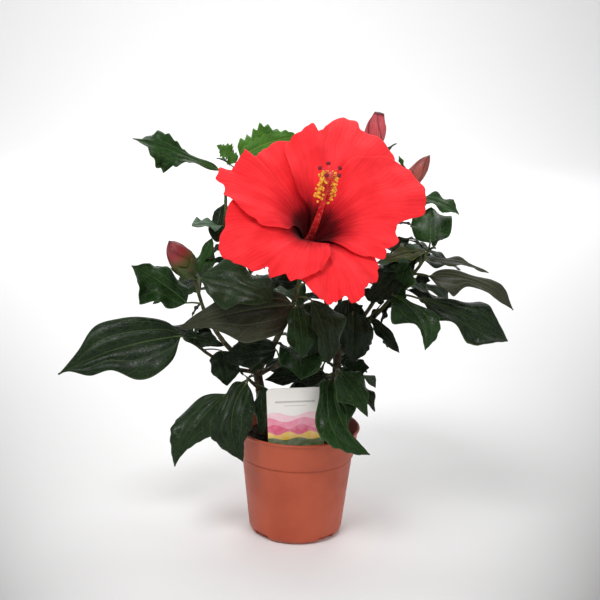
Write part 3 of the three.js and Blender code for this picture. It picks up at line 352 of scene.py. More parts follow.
# Bloom, as in the source, with finer waves in its margin here. A petal's margin is given from its
# clockwise side to its other one: the angle in the bloom's face, from the right, and the reach.
# Its two sides lie in front of their neighbours (1) or behind them (-1). In its texture it is
# slim at its foot and reaches its full width on its way out.
BLOOM = {
    "foot": (5, -66, 297), "heading": -75, "pitch": 41, "throat": 4.9, "depth": 50, "funnel": 22,
    "recurve": 8, "reach": 92, "half": 34, "spread": (8, 30), "weave": 3, "thick": 0.9,
    "edge": 0.35, "crowd": 1.2, "curl_width": 18, "rows": 64, "columns": 112, "seeds": (97, 31),
    "widest": 0.7, "slim": 0.1,
}
PETALS = [
    {
        "throat": 54, "sides": (-1, 1), "curl": (7, 0.3, 44),
        "margin": [(24, 58), (31, 92), (40, 103), (50, 109), (59, 111), (63.5, 121), (69, 119), (76, 103),
                   (80.5, 89), (84, 94), (91, 87), (98, 80), (105, 74), (112, 55), (117, 38), (108, 30)],
    },
    {
        "throat": 126, "sides": (-1, 1), "curl": (3, 0.3, 50),
        "margin": [(86, 56), (97, 78), (111, 81), (119, 79), (128, 76), (131, 85), (139, 84), (144, 84),
                   (146.5, 93), (155, 91.5), (158, 84), (166, 80), (174, 70), (183, 60), (192, 49),
                   (199, 28)],
    },
    {
        "throat": 198, "sides": (-1, 1), "curl": (9, 0, 34),
        "margin": [(162, 52), (169, 76), (181, 79), (193, 89), (205, 94), (212, 86), (219, 82), (223, 71),
                   (229, 75), (236, 67), (242, 71), (250, 65), (257, 59), (265, 51), (272, 40), (276, 30)],
    },
    {
        "throat": 270, "sides": (-1, -1), "curl": (0, 0, 40),
        "margin": [(236, 44), (246, 60), (255, 73), (264, 81), (271, 80), (276, 78), (281, 85), (287, 81.5),
                   (292, 75), (302, 74), (311, 66), (320, 46)],
    },
    {
        "throat": 342, "sides": (1, 1), "curl": (3, -0.2, 50),
        "margin": [(302, 40), (311, 57), (319, 66), (325, 62), (331, 69), (347, 67), (354, 71), (360, 93),
                   (367, 99), (378, 104), (388, 103), (397, 99), (406, 78), (416, 62), (423, 42)],
    },
]
RUFFLE = {"waves": 9, "height": 3.2, "over": (42, 84)}
# Finer waves across a petal, each by how fast it turns and how strong it is: scallops in its rim,
# crimps in its outer part, and one broad swell.
SCALLOPS = {"depth": 0.7, "waves": ((31, 1), (47, 0.7), (71, 0.5))}
CRIMP = {"height": 1.3, "from": 0.62, "steep": 1.5, "waves": ((13, 1), (30, 0.6))}
SWELL = {"over": (0.15, 0.6), "waves": ((4.5 * math.pi, 0.7),)}
THROAT = {"within": 1.2, "to": 24, "rows": 22, "sides": 60, "over": (3, 9), "behind": 1.4, "thick": 0.8}
COLUMN = {
    "length": 88, "heading": -74, "bend": 20, "ease": 1.4, "steps": 8, "radius": (3.4, 1.6),
    "flare": (0.5, 0.03), "rings": 60, "sides": 14, "seed": 71,
}
# Anthers on short filaments all over the column's outer part but one side, and the pads at its
# end on their styles. A pair for a reach, a bend or a size is the least and what chance adds.
ANTHERS = {
    "count": 96, "over": (0.66, 0.94), "gap": 60, "reach": (5.76, 3.2), "radii": (0.34, 0.22),
    "sides": 5, "droop": 0.5, "bend": (0.2, 0.6), "lean": 1.4, "size": (1.2, 0.6), "flat": 0.8,
    "notch": 0.35,
}
STIGMAS = {
    "count": 5, "at": 0.985, "reach": 10, "radii": (0.6, 0.45), "sides": 7, "droop": 0.4,
    "bend": 0.5, "size": (2.0, 1.6), "rows": (10, 14),
}
KNOB = {"middle": 0.55, "points": 7}
PATTERN = (100, 60)  # the millimetres outward and the degrees round in one unit of the petals' pattern
GRAIN_ENDS = (0.06, 0.94)  # where a grain's first and last rings are, as shares of a half turn
STALK = {
    "radius": 2.2, "from": (3, -40, 276.4), "knee": 9, "into": 2, "sides": 14, "points": 24,
    "cup": 8.5, "cup_length": 12, "cup_sides": 40, "wall": 0.8, "loose": 1.2, "pip": 0.6,
    "inside": (2, 4),
}
# The cup's outside, in shares of its radius and in millimetres up from its foot.
CUP = ((0.5, 0.2), (0.72, 1.6), (0.86, 4), (0.94, 8))
# Rows of pointed leaflets round a cup: how many, where the first is, as a share of the way to the
# next, a leaflet's length, width and bend, and where it stands: how high, at what share of the
# cup's radius and how far in from there. A bud's bracts have a share of its length.
SEPALS = {"count": 5, "first": 0.5, "length": 15, "width": 11, "bend": 1.9, "up": 11, "share": 1, "in": 0.6}
BRACTS = {"count": 7, "first": 0.5, "length": 11, "width": 2.6, "bend": 1.3, "up": 1.5, "share": 0.7, "in": 0}
BUD_BRACTS = {"count": 7, "first": 0.3, "length": 0.28, "width": 1.8, "bend": 1.1, "up": 1.5, "share": 0.42}
LEAFLET = {"thick": 0.5, "rows": 10, "columns": 6, "taper": 1.6, "belly": 0.5, "tip": 0.15, "cup": 0.25}
FURLED = [(0, 0.1), (0.62, 0.16), (0.94, 0.36), (1, 0.5), (0.84, 0.7), (0.48, 0.88), (0, 1)]
ROLLED = [(0, 0.1), (0.62, 0.16), (0.94, 0.36), (1, 0.52), (0.9, 0.7), (0.6, 0.88), (0.44, 0.98), (0, 1)]
NECK = {"radius": (1.7, 1.9), "into": 1.5, "sides": 12, "steps": 6}
# A bud's petals are rolled in folds with fine pleats, and both wind round it on their way up.
FURL = {
    "rows": 54, "sides": 70, "least": 0.35, "folds": (5, 1.6), "step": 0.1,
    "step_over": (0.04, 0.2), "pleats": (30, 6), "pleat": 0.012, "samples": 120,
}
BUD_CUP = {
    "rows": 16, "sides": 80, "from": 0.03, "mouth": 0.32, "teeth": 5, "point": 1.25,
    "floor": (0.62, 0.16), "loose": 1.05, "skins": (1.5, 0.7), "thinning": 0.45,
}
BUDS = {
    "bud_left": {
        "from": "leaves_left", "neck": 2, "heading": -163, "pitch": 57, "length": 42, "width": 23,
        "shape": FURLED, "look": "left", "teeth": 0.14,
    },
    "bud_back": {
        "from": "leaves_upper_back", "neck": 16, "heading": -30, "pitch": 78, "length": 44, "width": 20,
        "shape": ROLLED, "look": "back", "teeth": 0.1,
    },
    "bud_right": {
        "from": "leaves_upper_right", "neck": 9, "heading": 0, "pitch": 56, "length": 44, "width": 16,
        "shape": FURLED, "look": "right", "teeth": 0.1,
    },
}


def direction(heading, pitch):
    """The unit vector for a heading and a pitch in degrees."""
    h, p = math.radians(heading), math.radians(pitch)
    return Vector((math.cos(h) * math.cos(p), math.sin(h) * math.cos(p), math.sin(p)))


def seeded(seed):
    """Numbers from 0 to 1, always the same ones for one seed."""
    state = seed

    def draw():
        nonlocal state
        state = (state * 16807) % 2147483647
        return state / 2147483647

    return draw


def smooth(low, high, value):
    """An even step from 0 at the low value to 1 at the high one."""
    t = np.clip((value - low) / (high - low), 0, 1)
    return t * t * (3 - 2 * t)


def lerp(a, b, share):
    """What lies at a share of the way from a to b."""
    return a + (b - a) * share


def turned(sides):
    """The angles of evenly spread corners round a circle."""
    return [2 * math.pi * s / sides for s in range(sides)]


def about_axis(foot, ahead):
    """What places a point by its distance from an axis, its angle round it and its height."""
    turn = Vector((0, 0, 1)).rotation_difference(ahead)
    return lambda r, a, z: foot + turn @ Vector((r * math.cos(a), r * math.sin(a), z))


def bell(value, middle, width):
    """A smooth bump of height 1."""
    return np.exp(-(((value - middle) / width) ** 2))


def paired(first, second, layers=1):
    """Two numbers for each point of a grid, as a UV map holds them, for one or more layers."""
    return np.tile(np.stack(np.broadcast_arrays(first, second), -1).reshape(-1, 2), (layers, 1))


def link(name, data):
    """A new object in the scene."""
    made = bpy.data.objects.new(name, data)
    bpy.context.scene.collection.objects.link(made)
    return made


class Curve:
    """The smooth curve through points that the source's limbs follow."""

    def __init__(self, points):
        self.points = [Vector(p) for p in points]

    def at(self, share):
        spans = len(self.points) - 1
        place = min(max(share, 0.0), 1.0) * spans
        first = min(int(place), spans - 1)
        weight = place - first
        p1, p2 = self.points[first], self.points[first + 1]
        p0 = self.points[first - 1] if first > 0 else 2 * p1 - p2
        p3 = self.points[first + 2] if first + 2 <= spans else 2 * p2 - p1
        d0, d1, d2 = [math.sqrt((b - a).length) for a, b in ((p0, p1), (p1, p2), (p2, p3))]
        t1 = ((p1 - p0) / d0 - (p2 - p0) / (d0 + d1) + (p2 - p1) / d1) * d1
        t2 = ((p2 - p1) / d1 - (p3 - p1) / (d1 + d2) + (p3 - p2) / d2) * d1
        square, cube = weight**2, weight**3
        return p1 + t1 * weight + (3 * (p2 - p1) - 2 * t1 - t2) * square + (2 * (p1 - p2) + t1 + t2) * cube

    def along(self, share):
        return (self.at(share + 1e-4) - self.at(share - 1e-4)).normalized()


class Piece:
    """Gathers shapes of one kind and joins them into one mesh that rides on the body."""

    def __init__(self, name, looks, slot, replaced=()):
        self.name, self.looks, self.slot, self.replaced = name, looks, slot, replaced
        self.points, self.corners, self.sizes, self.wears = [], [], [], []
        self.maps = {}
        self.count = 0

    def add(self, points, faces, look=0, **maps):
        """faces: arrays of faces with one number of corners each. look: the material's place, or
        one for each array. maps: a UV map's values by point, or a list by corner for each array."""
        looks = look if isinstance(look, (list, tuple)) else [look] * len(faces)
        for at, (group, wear) in enumerate(zip(faces, looks)):
            self.corners.append((group + self.count).ravel())
            self.sizes.append(np.full(len(group), group.shape[1]))
            self.wears.append(np.full(len(group), wear))
            for key, values in maps.items():
                placed = values[at] if isinstance(values, list) else values[group]
                self.maps.setdefault(key, []).append(placed.reshape(-1, 2))
        self.points.append(np.asarray(points, float).reshape(-1, 3))
        self.count += len(self.points[-1])

    def finish(self):
        """Makes the mesh and its object."""
        points = np.concatenate(self.points) * METRE
        corners, sizes = np.concatenate(self.corners), np.concatenate(self.sizes)
        mesh = bpy.data.meshes.new(self.name)
        mesh.vertices.add(len(points))
        mesh.vertices.foreach_set("co", points.ravel())
        mesh.loops.add(len(corners))
        mesh.loops.foreach_set("vertex_index", corners)
        mesh.polygons.add(len(sizes))
        mesh.polygons.foreach_set("loop_start", np.concatenate(([0], np.cumsum(sizes)[:-1])))
        mesh.polygons.foreach_set("material_index", np.concatenate(self.wears))
        mesh.polygons.foreach_set("use_smooth", np.ones(len(sizes), bool))
        for key, values in self.maps.items():
            layer = mesh.uv_layers.new(name=key)
            layer.uv.foreach_set("vector", np.concatenate(values).ravel())
        for look in self.looks:
            mesh.materials.append(look)
        mesh.update(calc_edges=True)
        mesh.validate()
        return settle(link(self.name, mesh), self.replaced)


def settle(piece, replaced=()):
    """Sets a piece to ride on the body and hides the imported nodes that it stands for."""
    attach(piece, BODY)
    if replaced:
        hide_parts(*replaced)
    return piece


def shell(front, back):
    """The points of a thin closed sheet between two grids of points, and its faces: front, back
    and rim."""
    rows, columns = front.shape[:2]
    f = np.arange(rows * columns).reshape(rows, columns)
    b = f + rows * columns

    def quads(*corners):
        return np.stack([c.ravel() for c in corners], 1)

    rim = [
        quads(b[:-1, -1], f[:-1, -1], f[1:, -1], b[1:, -1]),
        quads(b[:-1, 0], b[1:, 0], f[1:, 0], f[:-1, 0]),
        quads(b[0, :-1], f[0, :-1], f[0, 1:], b[0, 1:]),
        quads(b[-1, :-1], b[-1, 1:], f[-1, 1:], f[-1, :-1]),
    ]
    faces = [
        quads(f[:-1, :-1], f[1:, :-1], f[1:, 1:], f[:-1, 1:]),
        quads(b[:-1, :-1], b[:-1, 1:], b[1:, 1:], b[1:, :-1]),
        np.concatenate(rim),
    ]
    return np.concatenate([front.reshape(-1, 3), back.reshape(-1, 3)]), faces


def rings(grid):
    """The faces of a closed skin over rings of points, with a fan of triangles over each end."""
    count, sides = grid.shape[:2]
    index = np.arange(count * sides).reshape(count, sides)
    after = np.roll(index, -1, 1)
    skin = np.stack([c.ravel() for c in (index[:-1], after[:-1], after[1:], index[1:])], 1)
    foot, tip = count * sides, count * sides + 1
    fans = [np.stack([np.full(sides, foot), after[0], index[0]], 1)]
    fans.append(np.stack([np.full(sides, tip), index[-1], after[-1]], 1))
    ends = np.stack([grid[0].mean(0), grid[-1].mean(0)])
    return np.concatenate([grid.reshape(-1, 3), ends]), [skin, np.concatenate(fans)]


def tube(middles, radii, sides, relief=None):
    """Rings round a line of points. relief: each ring's radii as shares, by ring and side."""
    middles = [Vector(m) for m in middles]
    turns = np.arange(sides) * 2 * math.pi / sides
    side = Vector((1, 0, 0))
    grid = []
    for i, middle in enumerate(middles):
        ahead = (middles[min(i + 1, len(middles) - 1)] - middles[max(i - 1, 0)]).normalized()
        if abs(ahead.dot(side)) > 0.999:
            side = Vector((0, 1, 0))
        side = (side - ahead * side.dot(ahead)).normalized()
        across = ahead.cross(side)
        reach = radii[i] * (1 if relief is None else relief[i])
        ring = np.outer(np.cos(turns), side) + np.outer(np.sin(turns), across)
        grid.append(np.array(middle) + ring * np.reshape(reach * np.ones(sides), (-1, 1)))
    return np.array(grid)


def smooth_line(middles, count):
    """The same line with more points, evenly spread along its curve."""
    curve = Curve(middles)
    return [curve.at(i / (count - 1)) for i in range(count)]


def srgb(code):
    """A colour code as Blender's linear colour."""
    parts = [((code >> shift) & 255) / 255 for shift in (16, 8, 0)]
    return (*[c / 12.92 if c <= 0.04045 else ((c + 0.055) / 1.055) ** 2.4 for c in parts], 1.0)


class Paint:
    """One material, with its patterns worked out from the surface by nodes."""

    def __init__(self, name, **inputs):
        self.material = bpy.data.materials.new(name)
        self.material.use_nodes = True
        self.tree = self.material.node_tree
        self.shader = self.tree.nodes["Principled BSDF"]
        for socket, value in inputs.items():
            self.shader.inputs[socket.replace("_", " ")].default_value = value

    def node(self, kind, *values, **settings):
        made = self.tree.nodes.new("ShaderNode" + kind)
        for key, value in settings.items():
            setattr(made, key, value)
        for socket, value in zip(made.inputs, values):
            self.feed(socket, value)
        return made

    def feed(self, socket, value):
        if isinstance(value, bpy.types.NodeSocket):
            self.tree.links.new(value, socket)
        else:
            socket.default_value = value

    def sum(self, operation, *values):
        return self.node("Math", *values, operation=operation).outputs[0]

    def times(self, a, b):
        return self.sum("MULTIPLY", a, b)

    def plus(self, a, b):
        return self.sum("ADD", a, b)

    def ramp(self, value, low, high, first=0.0, last=1.0):
        """An even step from first, where the value is low or less, to last, where it is high."""
        made = self.node("MapRange", value, low, high, first, last, interpolation_type="SMOOTHSTEP")
        return made.outputs[0]

    def ripple(self, value):
        """How far a number is from the nearest whole one, from 0 to a half."""
        return self.sum("PINGPONG", value, 0.5)

    def mix(self, share, first, second):
        made = self.node("Mix", data_type="RGBA")
        colours = [srgb(c) if isinstance(c, int) else c for c in (first, second)]
        for socket, value in zip((made.inputs[0], made.inputs[6], made.inputs[7]), (share, *colours)):
            self.feed(socket, value)
        return made.outputs[2]

    def noise(self, place, scale, detail=2.0, rough=0.5):
        made = self.node("TexNoise", noise_dimensions="3D")
        for key, value in (("Vector", place), ("Scale", scale), ("Detail", detail), ("Roughness", rough)):
            self.feed(made.inputs[key], value)
        return made.outputs[0]

    def cells(self, place, scale):
        """How far a point is from the nearest edge of a mesh of uneven cells."""
        made = self.node("TexVoronoi", feature="DISTANCE_TO_EDGE")
        self.feed(made.inputs["Vector"], place)
        self.feed(made.inputs["Scale"], scale)
        return made.outputs[0]

    def pair(self, name):
        """The two numbers that a UV map holds."""
        parts = self.node("SeparateXYZ", self.node("UVMap", uv_map=name).outputs[0])
        return parts.outputs[0], parts.outputs[1]

    def place(self):
        return self.node("TexCoord").outputs["Object"]

    def parts(self, vector):
        return self.node("SeparateXYZ", vector).outputs

    def vector(self, *parts):
        return self.node("CombineXYZ", *parts).outputs[0]

    def bump(self, height, depth, strength=1.0):
        made = self.node("Bump")
        for key, value in (("Strength", strength), ("Distance", depth), ("Height", height)):
            self.feed(made.inputs[key], value)
        self.feed(self.shader.inputs["Normal"], made.outputs[0])

    def done(self, colour, roughness=None):
        self.feed(self.shader.inputs["Base Color"], colour)
        if roughness is not None:
            self.feed(self.shader.inputs["Roughness"], roughness)
        return self.material


def leaf_paint(name, deep, light, vein, rough, out):
    """A leaf's face: its tint varies from leaf to leaf, and its midrib, the two veins beside it,
    the two at its margins, the slanting ones and the net between them stand out. out: 1 where
    the veins are ridges, -1 where they are grooves."""
    p = Paint(name, Specular_IOR_Level=0.16)
    u, t = p.pair("Blade")
    half, tone = p.pair("Sheet")
    side = p.sum("ABSOLUTE", t)
    flat = p.vector(u, p.times(t, half), p.times(tone, 7.0))
    sway = p.times(p.sum("SUBTRACT", p.noise(flat, 6.0, 2.0), 0.5), 0.07)
    slim = p.ramp(u, 0.0, 1.0, 1.0, 0.3)

    def line(distance, width):
        return p.ramp(distance, 0.1 * width, width, 1.0, 0.0)

    def beside(column, width, low, high):
        away = p.times(p.sum("ABSOLUTE", p.sum("SUBTRACT", p.plus(side, sway), column)), half)
        return p.times(line(away, width), p.ramp(u, low, high, 1.0, 0.0))

    rib = line(p.sum("DIVIDE", p.times(side, half), slim), 0.013)
    slant = p.sum("SUBTRACT", p.plus(u, sway), p.times(side, LATERALS["lean"]))
    offset = p.times(p.sum("GREATER_THAN", t, 0.0), LATERALS["offset"])
    slant = p.plus(p.times(slant, LATERALS["count"]), offset)
    lateral = p.times(line(p.ripple(p.plus(slant, 0.5)), 0.035), p.ramp(u, 0.1, 0.45, 0.0, 0.6))
    veins = p.sum("MAXIMUM", rib, p.times(beside(MAIN_VEIN, 0.008, 0.5, 0.9), 0.7))
    veins = p.sum("MAXIMUM", veins, p.times(beside(0.8, 0.005, 0.2, 0.5), 0.5))
    veins = p.sum("MAXIMUM", veins, lateral)
    net = line(p.cells(flat, 30.0), 0.09)
    margin = p.times(p.ramp(side, 0.93, 1.0), 0.35)
    cloud = p.noise(flat, 5.0, 3.0)
    tint = p.plus(p.times(tone, 0.7), p.times(p.sum("SUBTRACT", cloud, 0.42), 1.1))
    colour = p.mix(tint, deep, light)
    colour = p.mix(p.times(net, 0.1), colour, vein)
    colour = p.mix(margin, colour, vein)
    colour = p.mix(p.times(veins, 0.5), colour, vein)
    relief = p.plus(p.times(veins, out), p.times(net, 0.3 * out))
    relief = p.plus(relief, p.times(p.noise(flat, 30.0, 3.0), 0.2))
    p.bump(relief, 0.0006, 0.7)
    return p.done(colour, p.ramp(p.noise(flat, 10.0), 0.3, 0.7, rough - 0.08, rough + 0.08))


def petal_paint():
    """Scarlet with fine veins that run out from a dark crimson throat."""
    p = Paint("Petal", Sheen_Weight=0.05, Sheen_Roughness=0.5, Specular_IOR_Level=0.12)
    share, _ = p.pair("Petal")
    reach, turn = p.pair("Reach")
    flat = p.vector(p.times(reach, 2.0), p.times(turn, 1.6), 0.0)
    fan = p.plus(turn, p.times(p.noise(flat, 1.6, 1.0), 0.16))
    coarse = p.ramp(p.ripple(p.times(fan, 9.0)), 0.0, 0.3, 1.0, 0.0)
    fine = p.ramp(p.ripple(p.times(fan, 25.0)), 0.0, 0.4, 1.0, 0.0)
    fine = p.times(fine, p.ramp(reach, 0.25, 0.6, 0.2, 1.0))
    cloud = p.noise(flat, 2.5, 3.0)
    patchy = p.ramp(p.noise(flat, 3.0, 2.0), 0.3, 0.7, 0.05, 0.22)
    colour = p.mix(p.ramp(cloud, 0.3, 0.7), 0xEE222C, 0xFC3038)
    colour = p.mix(p.times(coarse, patchy), colour, 0xC8101C)
    colour = p.mix(p.times(fine, 0.1), colour, 0xFF5A4C)
    throat = p.plus(reach, p.times(p.sum("SUBTRACT", cloud, 0.5), 0.1))
    throat = p.plus(throat, p.times(p.sum("SUBTRACT", coarse, 0.5), -0.02))
    colour = p.mix(p.ramp(throat, 0.17, 0.42, 0.85, 0.0), colour, 0xA80A1A)
    colour = p.mix(p.ramp(throat, 0.16, 0.26, 1.0, 0.0), colour, 0x560208)
    relief = p.plus(p.times(coarse, -0.6), p.times(fine, 0.25))
    relief = p.plus(relief, p.times(p.noise(flat, 40.0, 3.0), 0.4))
    p.bump(relief, 0.0003, 0.5)
    return p.done(colour, p.ramp(share, 0.0, 1.0, 0.6, 0.7))


def even_paint(name, colours, scale, rough, depth=0.0002, detail=3.0):
    """A surface whose tint drifts among its colours, with a fine grain."""
    p = Paint(name)
    place = p.place()
    drift = p.noise(place, scale, detail)
    colour = p.mix(p.ramp(drift, 0.3, 0.7), colours[0], colours[1])
    if len(colours) > 2:
        colour = p.mix(p.ramp(p.noise(place, scale * 2.7, detail), 0.5, 0.72), colour, colours[2])
    p.bump(p.noise(place, scale * 6.0, 4.0, 0.6), depth)
    return p.done(colour, p.ramp(p.noise(place, scale * 3.0), 0.3, 0.7, rough - 0.06, rough + 0.06))


def bark_paint():
    """Brown wood at the foot that turns olive green towards the tips, with pale specks."""
    p = Paint("Bark", Specular_IOR_Level=0.3)
    place = p.place()
    long, _ = p.pair("Along")
    height = p.plus(p.parts(place)[2], p.times(p.noise(place, 60.0), 0.03))
    grain = p.noise(place, 260.0, 4.0, 0.6)
    wood = p.mix(p.ramp(grain, 0.35, 0.7), 0x2B2118, 0x5E4C38)
    green = p.mix(p.ramp(grain, 0.3, 0.7), 0x2F3A1C, 0x55602F)
    colour = p.mix(p.ramp(height, 0.15, 0.3), wood, green)
    specks = p.ramp(p.cells(place, 420.0), 0.0, 0.12, 1.0, 0.0)
    specks = p.times(specks, p.ramp(p.noise(place, 120.0), 0.5, 0.62, 0.0, 0.55))
    colour = p.mix(specks, colour, 0x8A7A5E)
    ring = p.ramp(p.ripple(p.times(long, 0.07)), 0.0, 0.05, 0.35, 0.0)
    colour = p.mix(ring, colour, 0x1E1810)
    p.bump(p.plus(grain, p.times(specks, 0.5)), 0.0006)
    return p.done(colour, p.ramp(grain, 0.3, 0.7, 0.62, 0.85))


def bud_paint(name, deep, light, pale, fold_tint, foot, green_to):
    """Rolled petals in their bud, with paler streaks along the spiral and a green foot."""
    p = Paint(name, Specular_IOR_Level=0.3, Coat_Weight=0.1)
    share, turn = p.pair("Furl")
    place = p.place()
    windings = FURL["pleats"], FURL["folds"]
    pleats, folds = [p.plus(p.times(turn, count), p.times(share, wound)) for count, wound in windings]
    streak, fold = p.ripple(p.plus(pleats, p.noise(place, 90.0))), p.ripple(folds)
    colour = p.mix(p.ramp(p.noise(place, 60.0, 3.0), 0.35, 0.65), deep, light)
    colour = p.mix(p.ramp(streak, 0.0, 0.3, 0.45, 0.0), colour, pale)
    colour = p.mix(p.ramp(fold, 0.0, 0.14, 0.7, 0.0), colour, fold_tint)
    colour = p.mix(p.ramp(share, 0.9, 0.98), colour, fold_tint)
    colour = p.mix(p.ramp(share, green_to - 0.35, green_to, 0.9, 0.0), colour, foot)
    p.bump(streak, 0.0003, 0.6)
    return p.done(colour, p.ramp(p.noise(place, 200.0), 0.3, 0.7, 0.42, 0.56))


def card_paint():
    """Printed card: white with a soft grey rule, and waves of pink, rose and yellow at its foot."""
    p = Paint("Card", Coat_Weight=0.3, Coat_Roughness=0.15, Roughness=0.35)
    x, y = p.pair("Print")

    def wave(level, swing, count, phase):
        bend = p.sum("SINE", p.plus(p.times(x, count * 2 * math.pi), phase))
        return p.ramp(p.sum("SUBTRACT", y, p.plus(p.times(bend, swing), level)), -0.006, 0.006, 1.0, 0.0)

    def between(value, low, high):
        edge = 0.004
        within = p.ramp(value, high - edge, high + edge, 1.0, 0.0)
        return p.times(p.ramp(value, low - edge, low + edge), within)

    colour = p.mix(p.noise(p.place(), 30.0), 0xF1EDE6, 0xF8F5F0)
    rule = p.times(between(y, 0.76, 0.79), between(x, 0.14, 0.86))
    colour = p.mix(p.times(rule, 0.5), colour, 0x6A6468)
    rule = p.times(between(y, 0.7, 0.712), between(x, 0.3, 0.7))
    colour = p.mix(p.times(rule, 0.5), colour, 0x9A8A8E)
    bands = [
        (0.56, 0.035, 1.5, 0.4, 0xF7C9D2),
        (0.46, 0.04, 1.5, 1.6, 0xEE8AA4),
        (0.34, 0.04, 2.0, 0.2, 0xE0527A),
        (0.22, 0.03, 2.5, 2.1, 0xF3C84C),
        (0.12, 0.02, 2.0, 1.0, 0x5E7A46),
    ]
    for level, swing, count, phase, tint in bands:
        shade = p.mix(p.ramp(p.noise(p.place(), 160.0), 0.3, 0.7, 0.0, 0.18), tint, 0xFFFFFF)
        colour = p.mix(wave(level, swing, count, phase), colour, shade)
    return p.done(colour, p.ramp(p.noise(p.place(), 300.0), 0.3, 0.7, 0.3, 0.4))


LEAF_LOOKS = {
    "deep": leaf_paint("Leaf", 0x0A150A, 0x24391D, 0x526639, 0.31, -1),
    "under": leaf_paint("Leaf_underside", 0x1A2914, 0x2E4226, 0x566A40, 0.5, 1),
    "green": leaf_paint("Leaf_green", 0x0F260C, 0x2A4F1C, 0x64864A, 0.3, -1),
    "young": leaf_paint("Leaf_young", 0x1E4612, 0x528C30, 0xA8C85C, 0.42, -1),
    "young_under": leaf_paint("Leaf_young_underside", 0x3A6E28, 0x74A248, 0xA8C884, 0.56, 1),
    "olive": leaf_paint("Leaf_olive", 0x13160D, 0x383B2A, 0x686E50, 0.4, -1),
    "pale": leaf_paint("Leaf_pale", 0x4A6450, 0x5E7860, 0x86987C, 0.5, -1),
    "yellowing": leaf_paint("Leaf_yellowing", 0x364420, 0x646A30, 0xA6A258, 0.5, -1),
}
# What each kind of leaf wears on its face and on its underside.
SIDES_OF = {
    "deep": ("deep", "under"),
    "green": ("green", "under"),
    "young": ("young", "young_under"),
    "olive": ("olive", "under"),
    "pale": ("pale", "under"),
    "yellowing": ("yellowing", "young_under"),
}
BARK = bark_paint()
STEM_GREEN = even_paint("Petiole", (0x3A4A20, 0x4E5C2C, 0x5A3A28), 70.0, 0.5)
PETAL = petal_paint()
CALYX = even_paint("Calyx", (0x36481A, 0x4E6228, 0x6A4A2C), 90.0, 0.5)
BUD_LOOKS = {
    "left": bud_paint("Bud_left", 0x74121E, 0x941E2A, 0xB85A54, 0x3C0812, 0x46521E, 0.7),
    "back": bud_paint("Bud_back", 0xAC2A38, 0xD04A52, 0xEC9496, 0x5A0E1C, 0x8C4034, 0.3),
    "right": bud_paint("Bud_right", 0x7E2A26, 0x9E4238, 0xCC9080, 0x481410, 0x6A4432, 0.4),
}
FILAMENT = even_paint("Column", (0xC4121F, 0xE03A3A, 0xEE6A5C), 120.0, 0.45)
ANTHER = even_paint("Anther", (0xF2A81C, 0xF9CE45, 0xE07818), 900.0, 0.7, 0.0001)
STIGMA = even_paint("Stigma", (0x7A0C18, 0x9E1422, 0x5A0810), 900.0, 0.75, 0.0002)
POT_CLAY = even_paint("Pot_plastic", (0xAA4628, 0xBA5232), 22.0, 0.48, 0.00005)
PEAT = even_paint("Peat", (0x17100B, 0x2E2018, 0x4A3626), 160.0, 0.92, 0.0012, 6.0)
CARD = card_paint()


LIMBS = {}


def grow_limbs():
    """Every limb's curve and radii, by name, worked out as the source does."""
    for name, trunk in TRUNKS.items():
        LIMBS[name] = (Curve(trunk["through"]), trunk["radius"])
    for name, (start, through, radius) in BOUGHS.items():
        LIMBS[name] = (Curve([LIMBS[start][0].points[-1], *through]), radius)
    for name, mass in MASSES.items():
        base = LIMBS[mass["from"]][0].at(mass.get("start", 1))
        LIMBS[name] = (Curve([base, *mass["through"]]), mass["radius"])


def woody(piece, name, sides, step, knots):
    """A limb's skin: a tapering tube with long ridges, and a ring where each old leaf stood."""
    curve, ends = LIMBS[name]
    chance = seeded(sum(map(ord, name)))
    samples = np.linspace(0, 1, RELIEF["samples"] + 1)
    line = [curve.at(s) for s in samples]
    lengths = np.concatenate([[0], np.cumsum([(b - a).length for a, b in zip(line, line[1:])])])
    total = lengths[-1]
    count = max(RELIEF["least_rings"], round(total / step))
    least, more = RELIEF["uneven"]
    at = [RELIEF["first"] + i * knots * (least + more * chance()) for i in range(int(total / knots))]
    phase = RELIEF["phase"] * chance()
    ring_width, ring_height = RELIEF["ring"]
    alongs = np.linspace(0, total, count + 1)
    middles, radii, relief = [], [], []
    for along, share in zip(alongs, np.interp(alongs, lengths, samples)):
        middle = curve.at(share)
        radius = lerp(*ends, share)
        if name in TRUNKS:
            rise = middle.z - curve.points[0].z
            radius *= 1 + FLARE["share"] * (1 - float(smooth(0, FLARE["height"], rise)))
        row = np.full(sides, 1 + ring_height * sum(bell(along, a, ring_width) for a in at))
        for s, a in enumerate(turned(sides)):
            for size, length, height in RELIEF["ridges"]:
                spot = Vector((size * math.cos(a), size * math.sin(a), along / length + phase))
                row[s] += height * noise.noise(spot)
        middles.append(middle)
        radii.append(radius)
        relief.append(row)
    points, faces = rings(tube(middles, radii, sides, relief))
    place = np.zeros((len(points), 2))
    place[:-2] = paired(alongs[:, None], np.arange(sides) / sides)
    place[-1, 0] = total
    piece.add(points, faces, Along=place)


def frame_at(one, u):
    """The way a blade runs at a share of its length, and across and up from there."""
    heading, pitch, _ = one["blade"]
    form = one["form"]
    roll = math.radians(form.get("roll", 0))
    turn = math.radians(form.get("sway", 0)) * (0.5 - u)
    along = direction(heading, pitch + form.get("arch", BLADE["arch"]) * (0.5 - u))
    level = Vector((-math.sin(math.radians(heading)), math.cos(math.radians(heading)), 0))
    above = along.cross(level)
    side = level * math.cos(roll) + above * math.sin(roll)
    up = above * math.cos(roll) - level * math.sin(roll)
    across = side * math.cos(turn) - along * math.sin(turn)
    ahead = along * math.cos(turn) + side * math.sin(turn)
    return ahead, across, up


